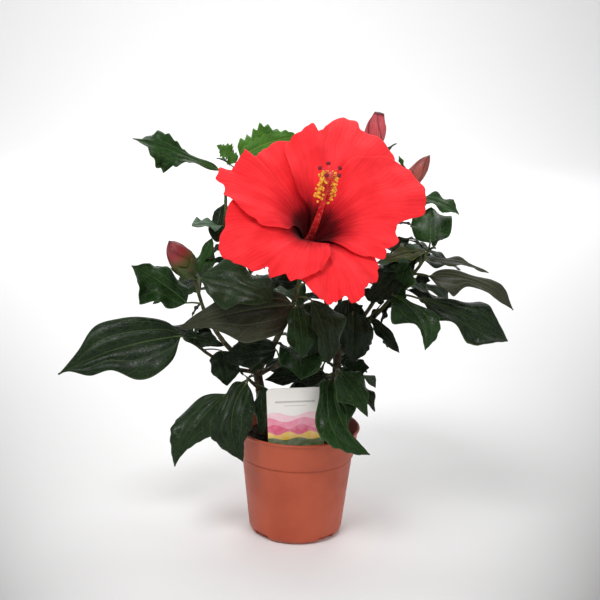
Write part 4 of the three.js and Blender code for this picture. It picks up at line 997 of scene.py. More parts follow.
def blade_line(root, one, shares):
    """The midrib's points at these shares of its length, with across and up at each."""
    point, before, found = root.copy(), 0.0, []
    for u in shares:
        point = point + frame_at(one, (before + u) / 2)[0] * (one["blade"][2] * (u - before))
        _, across, up = frame_at(one, u)
        found.append((point, across, up))
        before = u
    return found


def blade_width(u, belly):
    """A blade's half width as a share of its widest."""
    peak = belly / (belly + BLADE["taper"])
    shape = np.clip(u, 0, 1) ** belly * (1 - np.clip(u, 0, 1)) ** BLADE["taper"]
    return shape / (peak**belly * (1 - peak) ** BLADE["taper"])


def side_width(u, one, side):
    """How far a blade reaches to one side at each share of its length."""
    form, length = one["form"], one["blade"][2]
    if side not in form:
        widest = form.get("width", BLADE["width"]) * length / 2
        return widest * blade_width(u, form.get("belly", BLADE["belly"]))
    outline = Curve([(at, reach, 0) for at, reach in zip(OUTLINE_AT, (0, *form[side], 0))])
    line = np.array([outline.at(i / OUTLINE_STEPS)[:2] for i in range(OUTLINE_STEPS + 1)]) / 100
    return np.maximum(np.interp(u, np.maximum.accumulate(line[:, 0]), line[:, 1]), 0) * length


def leaf_root(foot, one):
    """Where a leaf's blade begins: at the end of its petiole."""
    turn, rise, reach = one["petiole"]
    return foot + direction(turn, rise) * reach


def in_place(node_points, foot, one):
    """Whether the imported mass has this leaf: the source leaves one out that would run into a
    limb or another mass, and its mesh then has no corner on the blade's midrib."""
    length = one["blade"][2]
    stations = int(BLADE["stations"]["left" in one["form"]] + length / BLADE["spacing"] + 0.5)
    shares = [(i + 1) / stations for i in range(stations)]
    for point, _, up in blade_line(leaf_root(foot, one), one, shares)[:-1]:
        corner = np.array(point + up * (length * BLADE["thick"] / 2))
        if np.linalg.norm(node_points - corner, axis=1).min() < SAME_PLACE:
            return True
    return False


def tooth_line(u, form, shift):
    """How much wider the blade is at a share of its length for its teeth, which point forward."""
    phase = np.mod(u * TEETH["count"] + shift, 1)
    steep = TEETH["steep"]
    tooth = np.where(phase < steep, phase / steep, (1 - phase) / (1 - steep)) - TEETH["middle"]
    start = form.get("toothed_from", TEETH["from"])
    before, after = TEETH["ease"]
    return form.get("teeth", TEETH["depth"]) * tooth * smooth(start + before, start + after, u)


def add_leaf(piece, tile, root, one, chance):
    """One leaf's blade: a thin folded sheet whose flesh swells between its veins."""
    form = one["form"]
    length = one["blade"][2]
    fold = math.radians(BLADE["fold"])
    u = np.linspace(0, 1, LEAF_STATIONS)
    t = np.array([-c for c in LEAF_COLUMNS[:0:-1]] + list(LEAF_COLUMNS))
    side, left = np.abs(t), t > 0
    middle, across, up = [np.array(rows)[:, None, :] for rows in zip(*blade_line(root, one, u))]

    def sided(pair):
        """One grid of what holds on the left and what holds on the right."""
        return np.where(left, pair[0][:, None], pair[1][:, None])

    least = FLESH["least"] * length
    halves = [side_width(u, one, name) for name in ("left", "right")]
    shifts = chance() * 0.5, chance() * 0.5 + 0.5
    toothed = [half * (1 + tooth_line(u, form, shift)) for half, shift in zip(halves, shifts)]
    bare = np.maximum(sided(halves), least)
    out = np.maximum(sided(toothed), least) * t
    lift = bare * math.sin(fold) * (np.sqrt(side**2 + FLESH["crease"]) - math.sqrt(FLESH["crease"]))
    beside = bell(side, MAIN_VEIN, FLESH["vein"]) * smooth(*FLESH["fade"], u)[:, None]
    veins = bell(side, 0, FLESH["midrib"]) + FLESH["outer"] * beside
    inner = np.minimum(side / MAIN_VEIN, 1)
    outer = np.clip((side - MAIN_VEIN) / (1 - MAIN_VEIN), 0, 1)
    swell = np.sin(math.pi * inner) ** 2 + FLESH["outer"] * np.sin(math.pi * outer) ** 2
    slope = (u[:, None] - LATERALS["lean"] * side) * LATERALS["count"] + LATERALS["offset"] * left
    laterals = np.cos(2 * math.pi * slope) * side * (1 - side) * smooth(*LATERALS["from"], u)[:, None]
    relief = FLESH["swell"] * swell - FLESH["groove"] * veins - LATERALS["swell"] * laterals
    lift = lift + length * np.minimum(1, bare / (FLESH["slim"] * length)) * relief
    few, more = FLESH["waves"]
    waves = [np.sin(2 * math.pi * (u * (few + more * chance()) + chance())) for _ in range(2)]
    lift = lift + bare * form.get("wave", FLESH["wave"]) * sided(waves) * side ** FLESH["wave_steep"]
    lift = lift - bare * FLESH["droop"] * side**3
    thick = lerp(FLESH["thick"], FLESH["edge"], side**3)
    rib = (1 - FLESH["rib_taper"] * u)[:, None] * bell(side, 0, FLESH["vein"])
    rib = FLESH["rib"] * (rib + FLESH["side_rib"] * (1 - u)[:, None] * beside)
    base = middle + across * (out * math.cos(fold))[..., None]
    front = base + up * (lift + thick / 2)[..., None]
    back = base + up * (lift - thick / 2 - rib)[..., None]
    points, faces = shell(front, back)
    tone = form.get("tone", chance())
    maps = {"Blade": paired(u[:, None], t, 2), "Sheet": paired(bare / length, tone, 2)}
    maps["OFBake"] = tile.lay(faces, u, t, bare.max(1) / bare.max())
    face, under = [list(LEAF_LOOKS).index(look) for look in SIDES_OF[form.get("look", "deep")]]
    piece.add(points, faces, [face, under, face], **maps)


class Tiles:
    """Gives each sheet two squares of its piece's texture, one for each face."""

    MARGIN = 0.04
    STRIP = 0.012
    LEAST = 0.03

    def __init__(self, sheets):
        self.side = math.ceil(math.sqrt(2 * sheets))
        self.next = 0

    def square(self, u, t, share):
        """A face's points in the next square, which is as wide as their share says."""
        x = 0.5 + (0.5 - self.MARGIN) * t * np.maximum(share, self.LEAST)[:, None]
        y = self.MARGIN + (1 - 2 * self.MARGIN) * u[:, None]
        corner = np.array([self.next % self.side, self.next // self.side])
        self.next += 1
        return paired(x, y), corner

    def lay(self, faces, u, t, share):
        """The texture's points for a sheet's front, its back, and its rim, a strip outside."""
        flat, corner = self.square(u, t, share)
        front = (flat + corner) / self.side
        rim = (flat + np.sign(flat - 0.5) * self.STRIP + corner) / self.side
        flat, corner = self.square(u, t, share)
        both = np.concatenate([front, (flat + corner) / self.side])
        edge = np.concatenate([front, rim])
        return [both[faces[0]], both[faces[1]], edge[faces[2]]]


def add_petiole(piece, foot, root, one):
    """A petiole: it bows up a little, is thicker at its foot and runs on into the blade."""
    reach, steps = (root - foot).length, PETIOLE["steps"]
    middles = []
    for s in [k / steps for k in range(steps + 1)]:
        point = foot.lerp(root, s)
        point.z += PETIOLE["bow"] * reach * 4 * s * (1 - s)
        middles.append(point)
    middles.append(root + frame_at(one, 0)[0] * (PETIOLE["into"] * one["blade"][2]))
    size = one["blade"][2] / PETIOLE["full"]
    ends = [radius * min(1, least + (1 - least) * size) for radius, least in PETIOLE["radii"]]
    shares = np.linspace(0, 1, len(middles))
    more, length = PETIOLE["foot"]
    thick = lerp(*ends, shares) * (1 + more * bell(shares * reach, 0, length))
    piece.add(*rings(tube(middles, thick, PETIOLE["sides"])))


def ruled_leaves(rule):
    """The leaves that the seeded rule deals out round a stem, drawn in the source's order."""
    chance = seeded(rule["seed"])

    def vary(share):
        return 1 + share * (2 * chance() - 1)

    def about(span):
        return span * (chance() - 0.5)

    dealt = []
    for i in range(rule["count"]):
        at = (i + 0.6) / rule["count"]
        turn = rule["heading"] + i * GOLDEN + about(RULE["turn"])
        length = rule["blade"] * (1 - RULE["shrink"] * at) * vary(RULE["size"])
        petiole = (turn, rule["rise"] + RULE["lift"] * at, rule["petiole"] * vary(RULE["reach"]))
        heading = turn + about(RULE["twist"])
        pitch = rule["pitch"] + RULE["level"] * at * vary(RULE["arch"][1])
        width, arch = [mean * vary(share) for mean, share in (RULE["width"], RULE["arch"])]
        roll, sway = about(RULE["twist"]), about(RULE["twist"])
        blade = (heading, pitch, length)
        dealt.append(leaf(at, petiole, blade, width=width, arch=arch, roll=roll, sway=sway))
    return dealt


def finer_leaves(name, mass):
    """The leaves that only show here: listed ones, or smaller ones by the mass's own rule."""
    if "rule" not in mass:
        return FINER.get(name, [])
    rule = dict(mass["rule"])
    rule["count"] = FINER_RULE["count"]
    rule["seed"] += FINER_RULE["seed"]
    rule["heading"] += FINER_RULE["turned"]
    rule["blade"] *= FINER_RULE["blade"]
    rule["petiole"] *= FINER_RULE["petiole"]
    rule["pitch"] += FINER_RULE["raised"]
    return ruled_leaves(rule)


def shoot_leaves(chance):
    """A few small young leaves at a stem's tip."""
    turn = 360 * chance()
    dealt = []
    for i in range(SHOOT["count"]):
        size = 1 - SHOOT["shrink"] * i
        heading = turn + i * GOLDEN
        spread, roll = [span * (chance() - 0.5) for span in (SHOOT["spread"], SHOOT["roll"])]
        petiole = (heading, SHOOT["rise"], SHOOT["petiole"] * size)
        blade = (heading + spread, SHOOT["pitch"] - SHOOT["level"] * i, SHOOT["blade"] * size)
        dealt.append(leaf(SHOOT["at"], petiole, blade, roll=roll, **SHOOT["form"]))
    return dealt


def make_plant():
    """The bark, the twigs and each mass's leaves, which grow on from the limbs."""
    grow_limbs()
    bark = Piece("bark", [BARK], "bark", [*TRUNKS, *BOUGHS])
    for kind, names in (("trunk", TRUNKS), ("bough", BOUGHS)):
        for name in names:
            woody(bark, name, **WOOD[kind])
    bark.finish()
    twigs = Piece("twigs", [STEM_GREEN], "leaf")
    stems = Piece("stems", [BARK], "bark")
    for name, mass in MASSES.items():
        curve, _ = LIMBS[name]
        woody(stems, name, **WOOD["stem"])
        node_points = np.array([v.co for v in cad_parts[name].data.vertices]) / METRE
        chance = seeded(sum(map(ord, name)) * LEAF_SEED)

        def footed(leaves):
            return [(curve.at(lerp(FIRST_LEAF, 1, one["at"])), one) for one in leaves]

        listed = footed(mass["leaves"] if "leaves" in mass else ruled_leaves(mass["rule"]))
        grown = [(foot, one) for foot, one in listed if in_place(node_points, foot, one)]
        grown += footed(finer_leaves(name, mass))
        grown += [(curve.at(one["at"]), one) for one in shoot_leaves(chance)]
        tile = Tiles(len(grown))
        piece = Piece(name.replace("leaves", "foliage"), LEAF_LOOKS.values(), "leaf", [name])
        for foot, one in grown:
            root = leaf_root(foot, one)
            add_petiole(twigs, foot, root, one)
            add_leaf(piece, tile, root, one, chance)
        piece.finish()
    twigs.finish()
    stems.finish()


FACING = direction(BLOOM["heading"], BLOOM["pitch"])
RIGHTWARD = Vector((0, 0, 1)).cross(FACING).normalized()
UPWARD = FACING.cross(RIGHTWARD)


def bloom_points(x, y, z):
    """Points given on the bloom's own axes: to the right, up and out of its face."""
    axes = np.array([RIGHTWARD, UPWARD, FACING])
    return np.array(BLOOM["foot"]) + np.stack(np.broadcast_arrays(x, y, z), -1) @ axes


def corolla_height(r, angle):
    """How far out of the throat the corolla stands at one distance and angle from its axis."""
    ruffle = RUFFLE["height"] * smooth(*RUFFLE["over"], r) * np.sin(RUFFLE["waves"] * angle)
    funnel = BLOOM["depth"] * (1 - np.exp(-(r - BLOOM["throat"]) / BLOOM["funnel"]))
    return funnel - BLOOM["recurve"] * (r / BLOOM["reach"]) ** 3 + ruffle


def petal_pattern(r, angle, layers=1):
    """Where the petals' pattern has each point: how far out it is, and how far round."""
    return paired(r / PATTERN[0], np.degrees(angle) / PATTERN[1], layers)


def ripples(t, waves, phases):
    """A sum of waves, each given by how fast it turns and how strong it is."""
    return sum(strong * np.sin(speed * t + phase) for (speed, strong), phase in zip(waves, phases))


def make_petal(number, petal):
    """A petal: a thin sheet as in the source, with fine crimped waves and scallops at its rim."""
    chance = seeded(BLOOM["seeds"][0] + BLOOM["seeds"][1] * number)
    columns = BLOOM["columns"]
    margin = Curve([(angle, reach, 0) for angle, reach in petal["margin"]])
    rim, length = np.array([margin.at(i / columns)[:2] for i in range(columns + 1)]).T[:, None, :]
    t = np.linspace(-1, 1, columns + 1)[None, :]
    share = np.linspace(0, 1, BLOOM["rows"] + 1)[:, None]
    phases = [2 * math.pi * chance() for _ in range(6)]
    length = length + SCALLOPS["depth"] * ripples(t, SCALLOPS["waves"], phases[:3])
    r = BLOOM["throat"] + (length - BLOOM["throat"]) * share ** BLOOM["crowd"]
    angle = np.radians(lerp(petal["throat"] + BLOOM["half"] * t, rim, smooth(*BLOOM["spread"], r)))
    weave = np.where(t > 0, petal["sides"][1], petal["sides"][0]) * np.abs(t) * BLOOM["weave"]
    weave = weave * smooth(BLOOM["throat"], BLOOM["spread"][0], r)
    lift, start, at = petal["curl"]
    curl = lift * smooth(start, 1, t) * bell(r, at, BLOOM["curl_width"])
    edge = smooth(CRIMP["from"], 1, share) ** CRIMP["steep"]
    waves = CRIMP["height"] * edge * ripples(t, CRIMP["waves"], phases[3:5])
    swell = ripples(t, SWELL["waves"], phases[5:]) * smooth(*SWELL["over"], share)
    height = corolla_height(r, angle) + weave + curl + waves + swell
    x, y = r * np.cos(angle), r * np.sin(angle)
    thick = lerp(BLOOM["thick"], BLOOM["edge"], np.maximum(np.abs(t), share) ** 4)
    points, faces = shell(bloom_points(x, y, height + thick / 2), bloom_points(x, y, height - thick / 2))
    maps = {"Petal": paired(share, t, 2), "Reach": petal_pattern(r, angle, 2)}
    width = np.maximum(smooth(0, BLOOM["widest"], share[:, 0]), BLOOM["slim"])
    maps["OFBake"] = Tiles(1).lay(faces, share[:, 0], t, width)
    piece = Piece(f"petal_{number}_blade", [PETAL], "petal", [f"petal_{number}"])
    piece.add(points, faces, **maps)
    piece.finish()


def make_throat():
    """The petals' feet, grown together into a dark funnel behind them."""
    r = np.linspace(BLOOM["throat"] - THROAT["within"], THROAT["to"], THROAT["rows"])[:, None]
    angle = np.array(turned(THROAT["sides"]))
    height = corolla_height(np.maximum(r, BLOOM["throat"]), angle) - THROAT["behind"]
    height = height - BLOOM["weave"] * smooth(*THROAT["over"], r)
    x, y = r * np.cos(angle), r * np.sin(angle)
    outside, inside = bloom_points(x, y, height - THROAT["thick"]), bloom_points(x, y, height)
    grid = np.concatenate([outside, inside[::-1]])
    index = np.arange(grid.size // 3).reshape(grid.shape[:2])
    after, above = np.roll(index, -1, 1), np.roll(index, -1, 0)
    quads = np.stack([c.ravel() for c in (index, above, np.roll(after, -1, 0), after)], 1)
    depth = petal_pattern(np.concatenate([r, r[::-1]]), angle)
    piece = Piece("throat", [PETAL], "petal")
    piece.add(grid, [quads], Petal=depth, Reach=depth)
    piece.finish()


def ball(centre, axis, radii, rows=6, sides=8, notch=0.0):
    """Rings of a rounded grain: radii across and along its axis, with a notch on one side."""
    spot = about_axis(Vector(centre), Vector(axis))
    grid = []
    for i in range(rows + 1):
        lean = math.pi * lerp(*GRAIN_ENDS, i / rows)
        reaches = [radii[0] * math.sin(lean) * (1 - notch * max(0, math.cos(a)) ** 2) for a in turned(sides)]
        grid.append([spot(reach, a, -radii[1] * math.cos(lean)) for reach, a in zip(reaches, turned(sides))])
    return np.array(grid)


def column_curve():
    """The column's middle line, which bends up on its way out."""
    points = [Vector(BLOOM["foot"])]
    for i in range(COLUMN["steps"]):
        turn = COLUMN["bend"] * ((i + 0.5) / COLUMN["steps"]) ** COLUMN["ease"]
        ahead = direction(COLUMN["heading"], BLOOM["pitch"] + turn)
        points.append(points[i] + ahead * (COLUMN["length"] / COLUMN["steps"]))
    return Curve(points)


def make_column():
    """The column, with anthers on short filaments and five dark pads at its end."""
    curve = column_curve()
    chance = seeded(COLUMN["seed"])
    column = Piece("column", [FILAMENT], "column", ["bloom_column"])
    anthers = Piece("anthers", [ANTHER], "column")
    pads = Piece("stigmas", [STIGMA], "column")
    shares = [i / COLUMN["rings"] for i in range(COLUMN["rings"] + 1)]
    flare, fading = COLUMN["flare"]
    radii = [lerp(*COLUMN["radius"], s) * (1 + flare * math.exp(-s / fading)) for s in shares]
    column.add(*rings(tube([curve.at(s) for s in shares], radii, COLUMN["sides"])))

    def filament(kind, share, turn, reach, bend):
        """Adds the thread that a knob sits on, and gives its tip and the way that it points."""
        foot, ahead = curve.at(share), curve.along(share)
        side = ahead.cross(RIGHTWARD).normalized()
        out = (Quaternion(ahead, math.radians(turn)) @ side + ahead * bend).normalized()
        tip = foot + out * reach
        middle = foot.lerp(tip, KNOB["middle"]) + ahead * kind["droop"]
        line = smooth_line([foot, middle, tip], KNOB["points"])
        column.add(*rings(tube(line, np.linspace(*kind["radii"], KNOB["points"]), kind["sides"])))
        return line[-1], out

    def vary(key):
        least, more = ANTHERS[key]
        return least + more * chance()

    for i in range(ANTHERS["count"]):
        share = lerp(*ANTHERS["over"], (i + 0.5) / ANTHERS["count"])
        turn = (i * GOLDEN % 360 / 360 - 0.5) * (360 - ANTHERS["gap"])
        tip, out = filament(ANTHERS, share, turn, vary("reach"), vary("bend"))
        lean = (out + Vector([chance() - 0.5 for _ in range(3)]) * ANTHERS["lean"]).normalized()
        size = vary("size")
        anthers.add(*rings(ball(tip, lean, (size * ANTHERS["flat"], size), notch=ANTHERS["notch"])))
    for i in range(STIGMAS["count"]):
        turn = 360 / STIGMAS["count"] * i
        tip, out = filament(STIGMAS, STIGMAS["at"], turn, STIGMAS["reach"], STIGMAS["bend"])
        pads.add(*rings(ball(tip, out, STIGMAS["size"], *STIGMAS["rows"])))
    for piece in (column, anthers, pads):
        piece.finish()


def add_leaflets(piece, kind, foot, ahead, away, first, length):
    """A row of sepals or bracts round a cup: pointed strips that run ahead and bend outward."""
    turn = Vector((0, 0, 1)).rotation_difference(ahead)
    u = np.linspace(0, 1, LEAFLET["rows"] + 1)[:, None]
    t = np.linspace(-1, 1, LEAFLET["columns"] + 1)[None, :]
    half = kind["width"] / 2 * (1 - u ** LEAFLET["taper"]) * (1 + LEAFLET["belly"] * u) + LEAFLET["tip"]
    cup = LEAFLET["cup"] * half * t**2
    lean = kind["bend"] * u
    for i in range(kind["count"]):
        a = 2 * math.pi * (i + first) / kind["count"]
        out = turn @ Vector((math.cos(a), math.sin(a), 0))
        along, away_from, across = np.array(ahead), np.array(out), np.array(ahead.cross(out))
        run = (length * u * np.cos(lean / 2))[..., None] * along
        run = run + (length * u * np.sin(lean / 2))[..., None] * away_from
        middle = np.array(foot + out * away) + run + (half * t)[..., None] * across
        normal = np.cos(lean)[..., None] * away_from - np.sin(lean)[..., None] * along
        front = middle + normal * (LEAFLET["thick"] / 2 - cup)[..., None]
        back = middle - normal * (LEAFLET["thick"] / 2 + cup)[..., None]
        piece.add(*shell(front, back))


def turned_along(profile, foot, ahead, sides):
    """Rings of a profile, given as radius and height, turned round an axis."""
    spot = about_axis(foot, ahead)
    return np.array([[spot(r, a, z) for a in turned(sides)] for r, z in profile])


def make_stalk():
    """The bloom's stalk, its cup of five sepals and the narrow bracts under it."""
    foot = Vector(BLOOM["foot"]) - FACING * STALK["cup_length"]
    knee = foot - FACING * STALK["knee"]
    end = foot + FACING * STALK["into"]
    piece = Piece("bloom_sepals", [CALYX], "calyx", ["bloom_calyx"])
    line = smooth_line([Vector(STALK["from"]), knee, end], STALK["points"])
    piece.add(*rings(tube(line, np.full(STALK["points"], STALK["radius"]), STALK["sides"])))
    cup, height, wall = STALK["cup"], STALK["cup_length"], STALK["wall"]
    inner = BLOOM["throat"] + STALK["loose"]
    profile = [(STALK["pip"], 0), *[(cup * share, z) for share, z in CUP]]
    profile += [(cup, height), (cup - wall, height)]
    profile += [(inner, height - down) for down in STALK["inside"]]
    piece.add(*rings(turned_along(profile, foot, FACING, STALK["cup_sides"])))
    for kind in (SEPALS, BRACTS):
        at = foot + FACING * kind["up"]
        add_leaflets(piece, kind, at, FACING, cup * kind["share"] - kind["in"], kind["first"], kind["length"])
    piece.finish()


def furled_radius(z, shape):
    """A furled bud's radius at a share of its length, as a share of half its width."""
    flat = Curve([(r, h, 0) for r, h in shape])
    line = [flat.at(i / FURL["samples"]) for i in range(FURL["samples"] + 1)]
    z = lerp(shape[0][1], shape[-1][1], z)
    return float(np.interp(z, [p.y for p in line], [p.x for p in line]))


def make_bud(name, bud):
    """A bud: rolled petals in a cup with five pointed sepals, on a short neck."""
    ahead = direction(bud["heading"], bud["pitch"])
    start = LIMBS[bud["from"]][0].points[-1]
    foot = start + ahead * bud["neck"]
    spot = about_axis(foot, ahead)
    length, radius, first = bud["length"], bud["width"] / 2, FURLED[0][1]
    rows, sides = FURL["rows"], FURL["sides"]
    grid, furl = np.zeros((rows + 1, sides, 3)), np.zeros((rows + 1, sides, 2))
    for i in range(rows + 1):
        share = i / rows
        z = lerp(first, 1, share)
        r = max(furled_radius(share, bud["shape"]) * radius, FURL["least"])
        for s, a in enumerate(turned(sides)):
            part = s / sides
            folds, pleats = [count * part + wound * share for count, wound in (FURL["folds"], FURL["pleats"])]
            step = FURL["step"] * (folds % 1 - 0.5) * float(smooth(*FURL["step_over"], share))
            reach = r * (1 + step + FURL["pleat"] * math.sin(2 * math.pi * pleats))
            grid[i, s] = spot(reach, a, z * length)
            furl[i, s] = share, part
    points, faces = rings(grid)
    furl = np.concatenate([furl.reshape(-1, 2), [[0, 0], [1, 0]]])
    places = [furl[f] for f in faces]
    turns = places[0][:, :, 1]
    at_seam = np.ptp(turns, 1) > 0.5
    turns[at_seam] += turns[at_seam] < 0.5
    piece = Piece(f"{name}_furled", [BUD_LOOKS[bud["look"]]], "bud", [name])
    piece.add(points, faces, Furl=places)
    piece.finish()

    calyx = Piece(f"{name}_sepals", [CALYX], "calyx", [f"{name}_calyx"])
    end, steps = foot + ahead * NECK["into"], NECK["steps"]
    line = [start.lerp(end, k / steps) for k in range(steps + 1)]
    calyx.add(*rings(tube(line, np.linspace(*NECK["radius"], steps + 1), NECK["sides"])))
    rows, sides = BUD_CUP["rows"], BUD_CUP["sides"]
    skins = np.zeros((2, rows + 1, sides, 3))
    wide, high = BUD_CUP["floor"]
    for s, a in enumerate(turned(sides)):
        tooth = abs((BUD_CUP["teeth"] * s / sides) % 1 - 0.5) * 2
        top = BUD_CUP["mouth"] + bud["teeth"] * (1 - tooth) ** BUD_CUP["point"]
        for i in range(rows + 1):
            z = lerp(BUD_CUP["from"], top, i / rows)
            share = (z - first) / (1 - first)
            r = furled_radius(share, bud["shape"]) * radius if share > 0 else 0
            r = max(r, radius * wide * math.sqrt(z / high) if z < high else 0)
            for skin, off in zip(skins, BUD_CUP["skins"]):
                reach = r * BUD_CUP["loose"] + off * (1 - BUD_CUP["thinning"] * (i / rows))
                skin[i, s] = spot(reach, a, z * length)
    calyx.add(*rings(np.concatenate([skins[0], skins[1][::-1]])))
    at, away = foot + ahead * BUD_BRACTS["up"], radius * BUD_BRACTS["share"]
    add_leaflets(calyx, BUD_BRACTS, at, ahead, away, BUD_BRACTS["first"], length * BUD_BRACTS["length"])
    calyx.finish()


def lathe(profile, sides):
    """A closed mesh of a profile, given as radius and height, turned round the upright axis."""
    made = bmesh.new()
    rows = []
    for radius, height in profile:
        if radius < 1e-6:
            rows.append([made.verts.new((0, 0, height * METRE))] * sides)
        else:
            spots = [Vector((radius * math.cos(a), radius * math.sin(a), height)) for a in turned(sides)]
            rows.append([made.verts.new(spot * METRE) for spot in spots])
    for low, high in zip(rows, rows[1:]):
        for s in range(sides):
            after = (s + 1) % sides
            corners = list(dict.fromkeys([low[s], low[after], high[after], high[s]]))
            if len(corners) > 2:
                made.faces.new(corners)
    return made


def rounded(corner, start, end, steps=6):
    """Points of a quarter arc from one point to another round a corner's middle."""
    (cx, cz), (x0, z0), (x1, z1) = corner, start, end
    spots = []
    for i in range(steps + 1):
        a = math.pi / 2 * i / steps
        spots.append((cx + (x0 - cx) * math.cos(a) + (x1 - cx) * math.sin(a),
                      cz + (z0 - cz) * math.cos(a) + (z1 - cz) * math.sin(a)))
    return spots


def pot_profile():
    """The pot's wall from the middle of its foot, up its outside and down to its floor."""
    height, rim, wall = POT["height"], POT["rim"], POT["wall"]
    corner, foot, bead = POT["corner"], POT["foot"], POT["bead"]
    collar_radius, collar_foot = POT["collar_radius"], POT["collar_foot"]
    body_top, step = POT["body_top"], POT["step"]
    profile = [(0, 2.4), (foot - 6, 2.4), (foot - 4.5, 0.4), (foot - 3.6, 0), (foot, 0)]
    profile += rounded((foot, corner), (foot, 0), (POT["body_foot"], corner))[1:]
    profile += [(body_top - 0.2, collar_foot - step - 2.4), (body_top, collar_foot - step - 0.8)]
    profile += [(body_top - 0.5, collar_foot - step), (body_top + 0.3, collar_foot - step + 0.5)]
    profile += [(collar_radius - 0.3, collar_foot - 0.3), (collar_radius, collar_foot + 0.3)]
    slope = (rim - wall - collar_radius) / (height - POT["lip"] - collar_foot)
    profile += [(collar_radius + slope * 2.5, collar_foot + 2.5)]
    profile += [(rim - wall - 0.5, height - POT["lip"] - 3), (rim - wall, height - POT["lip"] - 0.8)]
    profile += rounded((rim - wall * 0.7, height - POT["lip"] / 2), (rim - wall * 0.7, height - POT["lip"]),
                       (rim, height - POT["lip"] / 2), 4)
    profile += rounded((rim - bead - 0.6, height - 0.9), (rim, height - 0.9), (rim - bead - 0.6, height), 5)
    profile += [(rim - wall - bead + 0.2, height), (rim - wall - bead - 0.1, height - 0.6)]
    profile += [(collar_radius - wall, collar_foot), (body_top - wall, collar_foot - step)]
    profile += [(POT["body_foot"] - wall, POT["floor"] + SOIL["dome"])]
    profile += [(foot, POT["floor"]), (0, POT["floor"])]
    return profile


def meshed(name, made):
    """The object of a mesh that has been made."""
    mesh = bpy.data.meshes.new(name)
    made.to_mesh(mesh)
    made.free()
    return link(name, mesh)


def make_pot():
    """The pot: a thin shell with a grooved collar and a rolled lip, and notches cut in its foot."""
    pot = meshed("pot_shell", lathe(pot_profile(), POT_SIDES))
    cutter = bmesh.new()
    for i in range(NOTCH["count"]):
        turn = Matrix.Rotation(math.radians(NOTCH["from"] + 360 / NOTCH["count"] * i), 4, "Z")
        size = Matrix.Diagonal((NOTCH["depth"] * 2, NOTCH["width"], NOTCH["height"] * 2, 1))
        place = Matrix.Translation((POT["body_foot"], 0, 0))
        bmesh.ops.create_cube(cutter, size=1, matrix=Matrix.Scale(METRE, 4) @ turn @ place @ size)
    notches = meshed("notches", cutter)
    cut = pot.modifiers.new("Notches", "BOOLEAN")
    cut.operation, cut.object, cut.solver = "DIFFERENCE", notches, "EXACT"
    bevel = pot.modifiers.new("Edges", "BEVEL")
    bevel.width, bevel.segments = ROUNDING["radius"] * METRE, ROUNDING["steps"]
    bevel.limit_method, bevel.angle_limit = "ANGLE", math.radians(ROUNDING["from"])
    bpy.context.view_layer.update()
    shaped = bpy.data.meshes.new_from_object(pot.evaluated_get(bpy.context.evaluated_depsgraph_get()))
    pot.modifiers.clear()
    pot.data = shaped
    bpy.data.objects.remove(notches)
    shaped.materials.clear()
    shaped.materials.append(POT_CLAY)
    shaped.polygons.foreach_set("use_smooth", np.ones(len(shaped.polygons), bool))
    shaped.set_sharp_from_angle(angle=math.radians(CREASE))
    settle(pot, ["pot"])


def peat_height(x, y):
    """The peat's top: nearly level, lumpy, and a little lower at the rim."""
    low, high, lower = SOIL["rim"]
    height = SOIL["top"] - SOIL["sunk"] - lower * float(smooth(low, high, math.hypot(x, y)))
    return height + sum(rise * noise.noise(Vector((x / wide, y / wide, kind))) for rise, wide, kind in LUMPS)


def make_peat():
    """The peat: a lumpy top over a plug that fills the pot, with crumbs lying on it."""
    slope = (POT["rim"] - POT["collar_radius"]) / (POT["height"] - POT["collar_foot"])
    edge = POT["collar_radius"] - POT["wall"] + slope * (SOIL["edge"] - POT["collar_foot"])
    edge -= PLUG["off"] + PLUG["loose"]
    walls = [
        (POT["foot"], POT["floor"], "foot", 1),
        (POT["body_foot"], POT["floor"], "corner", 1),
        (POT["body_top"], POT["collar_foot"], "neck", -1),
        (edge, SOIL["edge"], "edge", -1),
    ]
    profile = [(r - PLUG[name][0], z + way * PLUG[name][1]) for r, z, name, way in walls]
    turns = np.array(turned(SOIL["sides"]))
    around = np.stack([np.cos(turns), np.sin(turns)], 1)
    grid = [[(*(radius * way), height) for way in around] for radius, height in profile]
    for k in range(SOIL["rings"]):
        top = edge * (1 - k / (SOIL["rings"] + 0.5)) * around
        grid.append([(x, y, peat_height(x, y)) for x, y in top])
    piece = Piece("peat", [PEAT], "soil", ["soil"])
    piece.add(*rings(np.array(grid)))
    piece.finish()
    crumbs = Piece("crumbs", [PEAT], "soil")
    chance = seeded(CRUMBS["seed"])
    (least, more), (short, longer) = CRUMBS["size"], CRUMBS["long"]
    for _ in range(CRUMBS["count"]):
        r, a = edge * CRUMBS["within"] * math.sqrt(chance()), 2 * math.pi * chance()
        x, y = r * math.cos(a), r * math.sin(a)
        size = least + more * chance() ** 3
        lean = direction(360 * chance(), 90 * chance())
        spot = (x, y, peat_height(x, y) + size * CRUMBS["sunk"])
        grain = ball(spot, lean, (size, size * (short + longer * chance())), *CRUMBS["ball"])
        shape = np.array([[1 + CRUMBS["rough"] * noise.noise(Vector(p)) for p in ring] for ring in grain])
        middle = grain.reshape(-1, 3).mean(0)
        crumbs.add(*rings(middle + (grain - middle) * shape[..., None]))
    crumbs.finish()


def label_outline():
    """The card's outline from the front, anticlockwise from its stake's point."""
    w, top, corner = LABEL["width"] / 2, LABEL["top"], LABEL["corner"]
    right = [(LABEL["point"] / 2, LABEL["foot"]), (LABEL["stake"] / 2, LABEL["neck"]), (w, LABEL["shoulder"])]
    inner = (w - corner, top - corner)
    right += rounded(inner, (w, top - corner), (w - corner, top), LABEL["arc_steps"])
    left = [(-x, z) for x, z in reversed(right)]
    return right + left


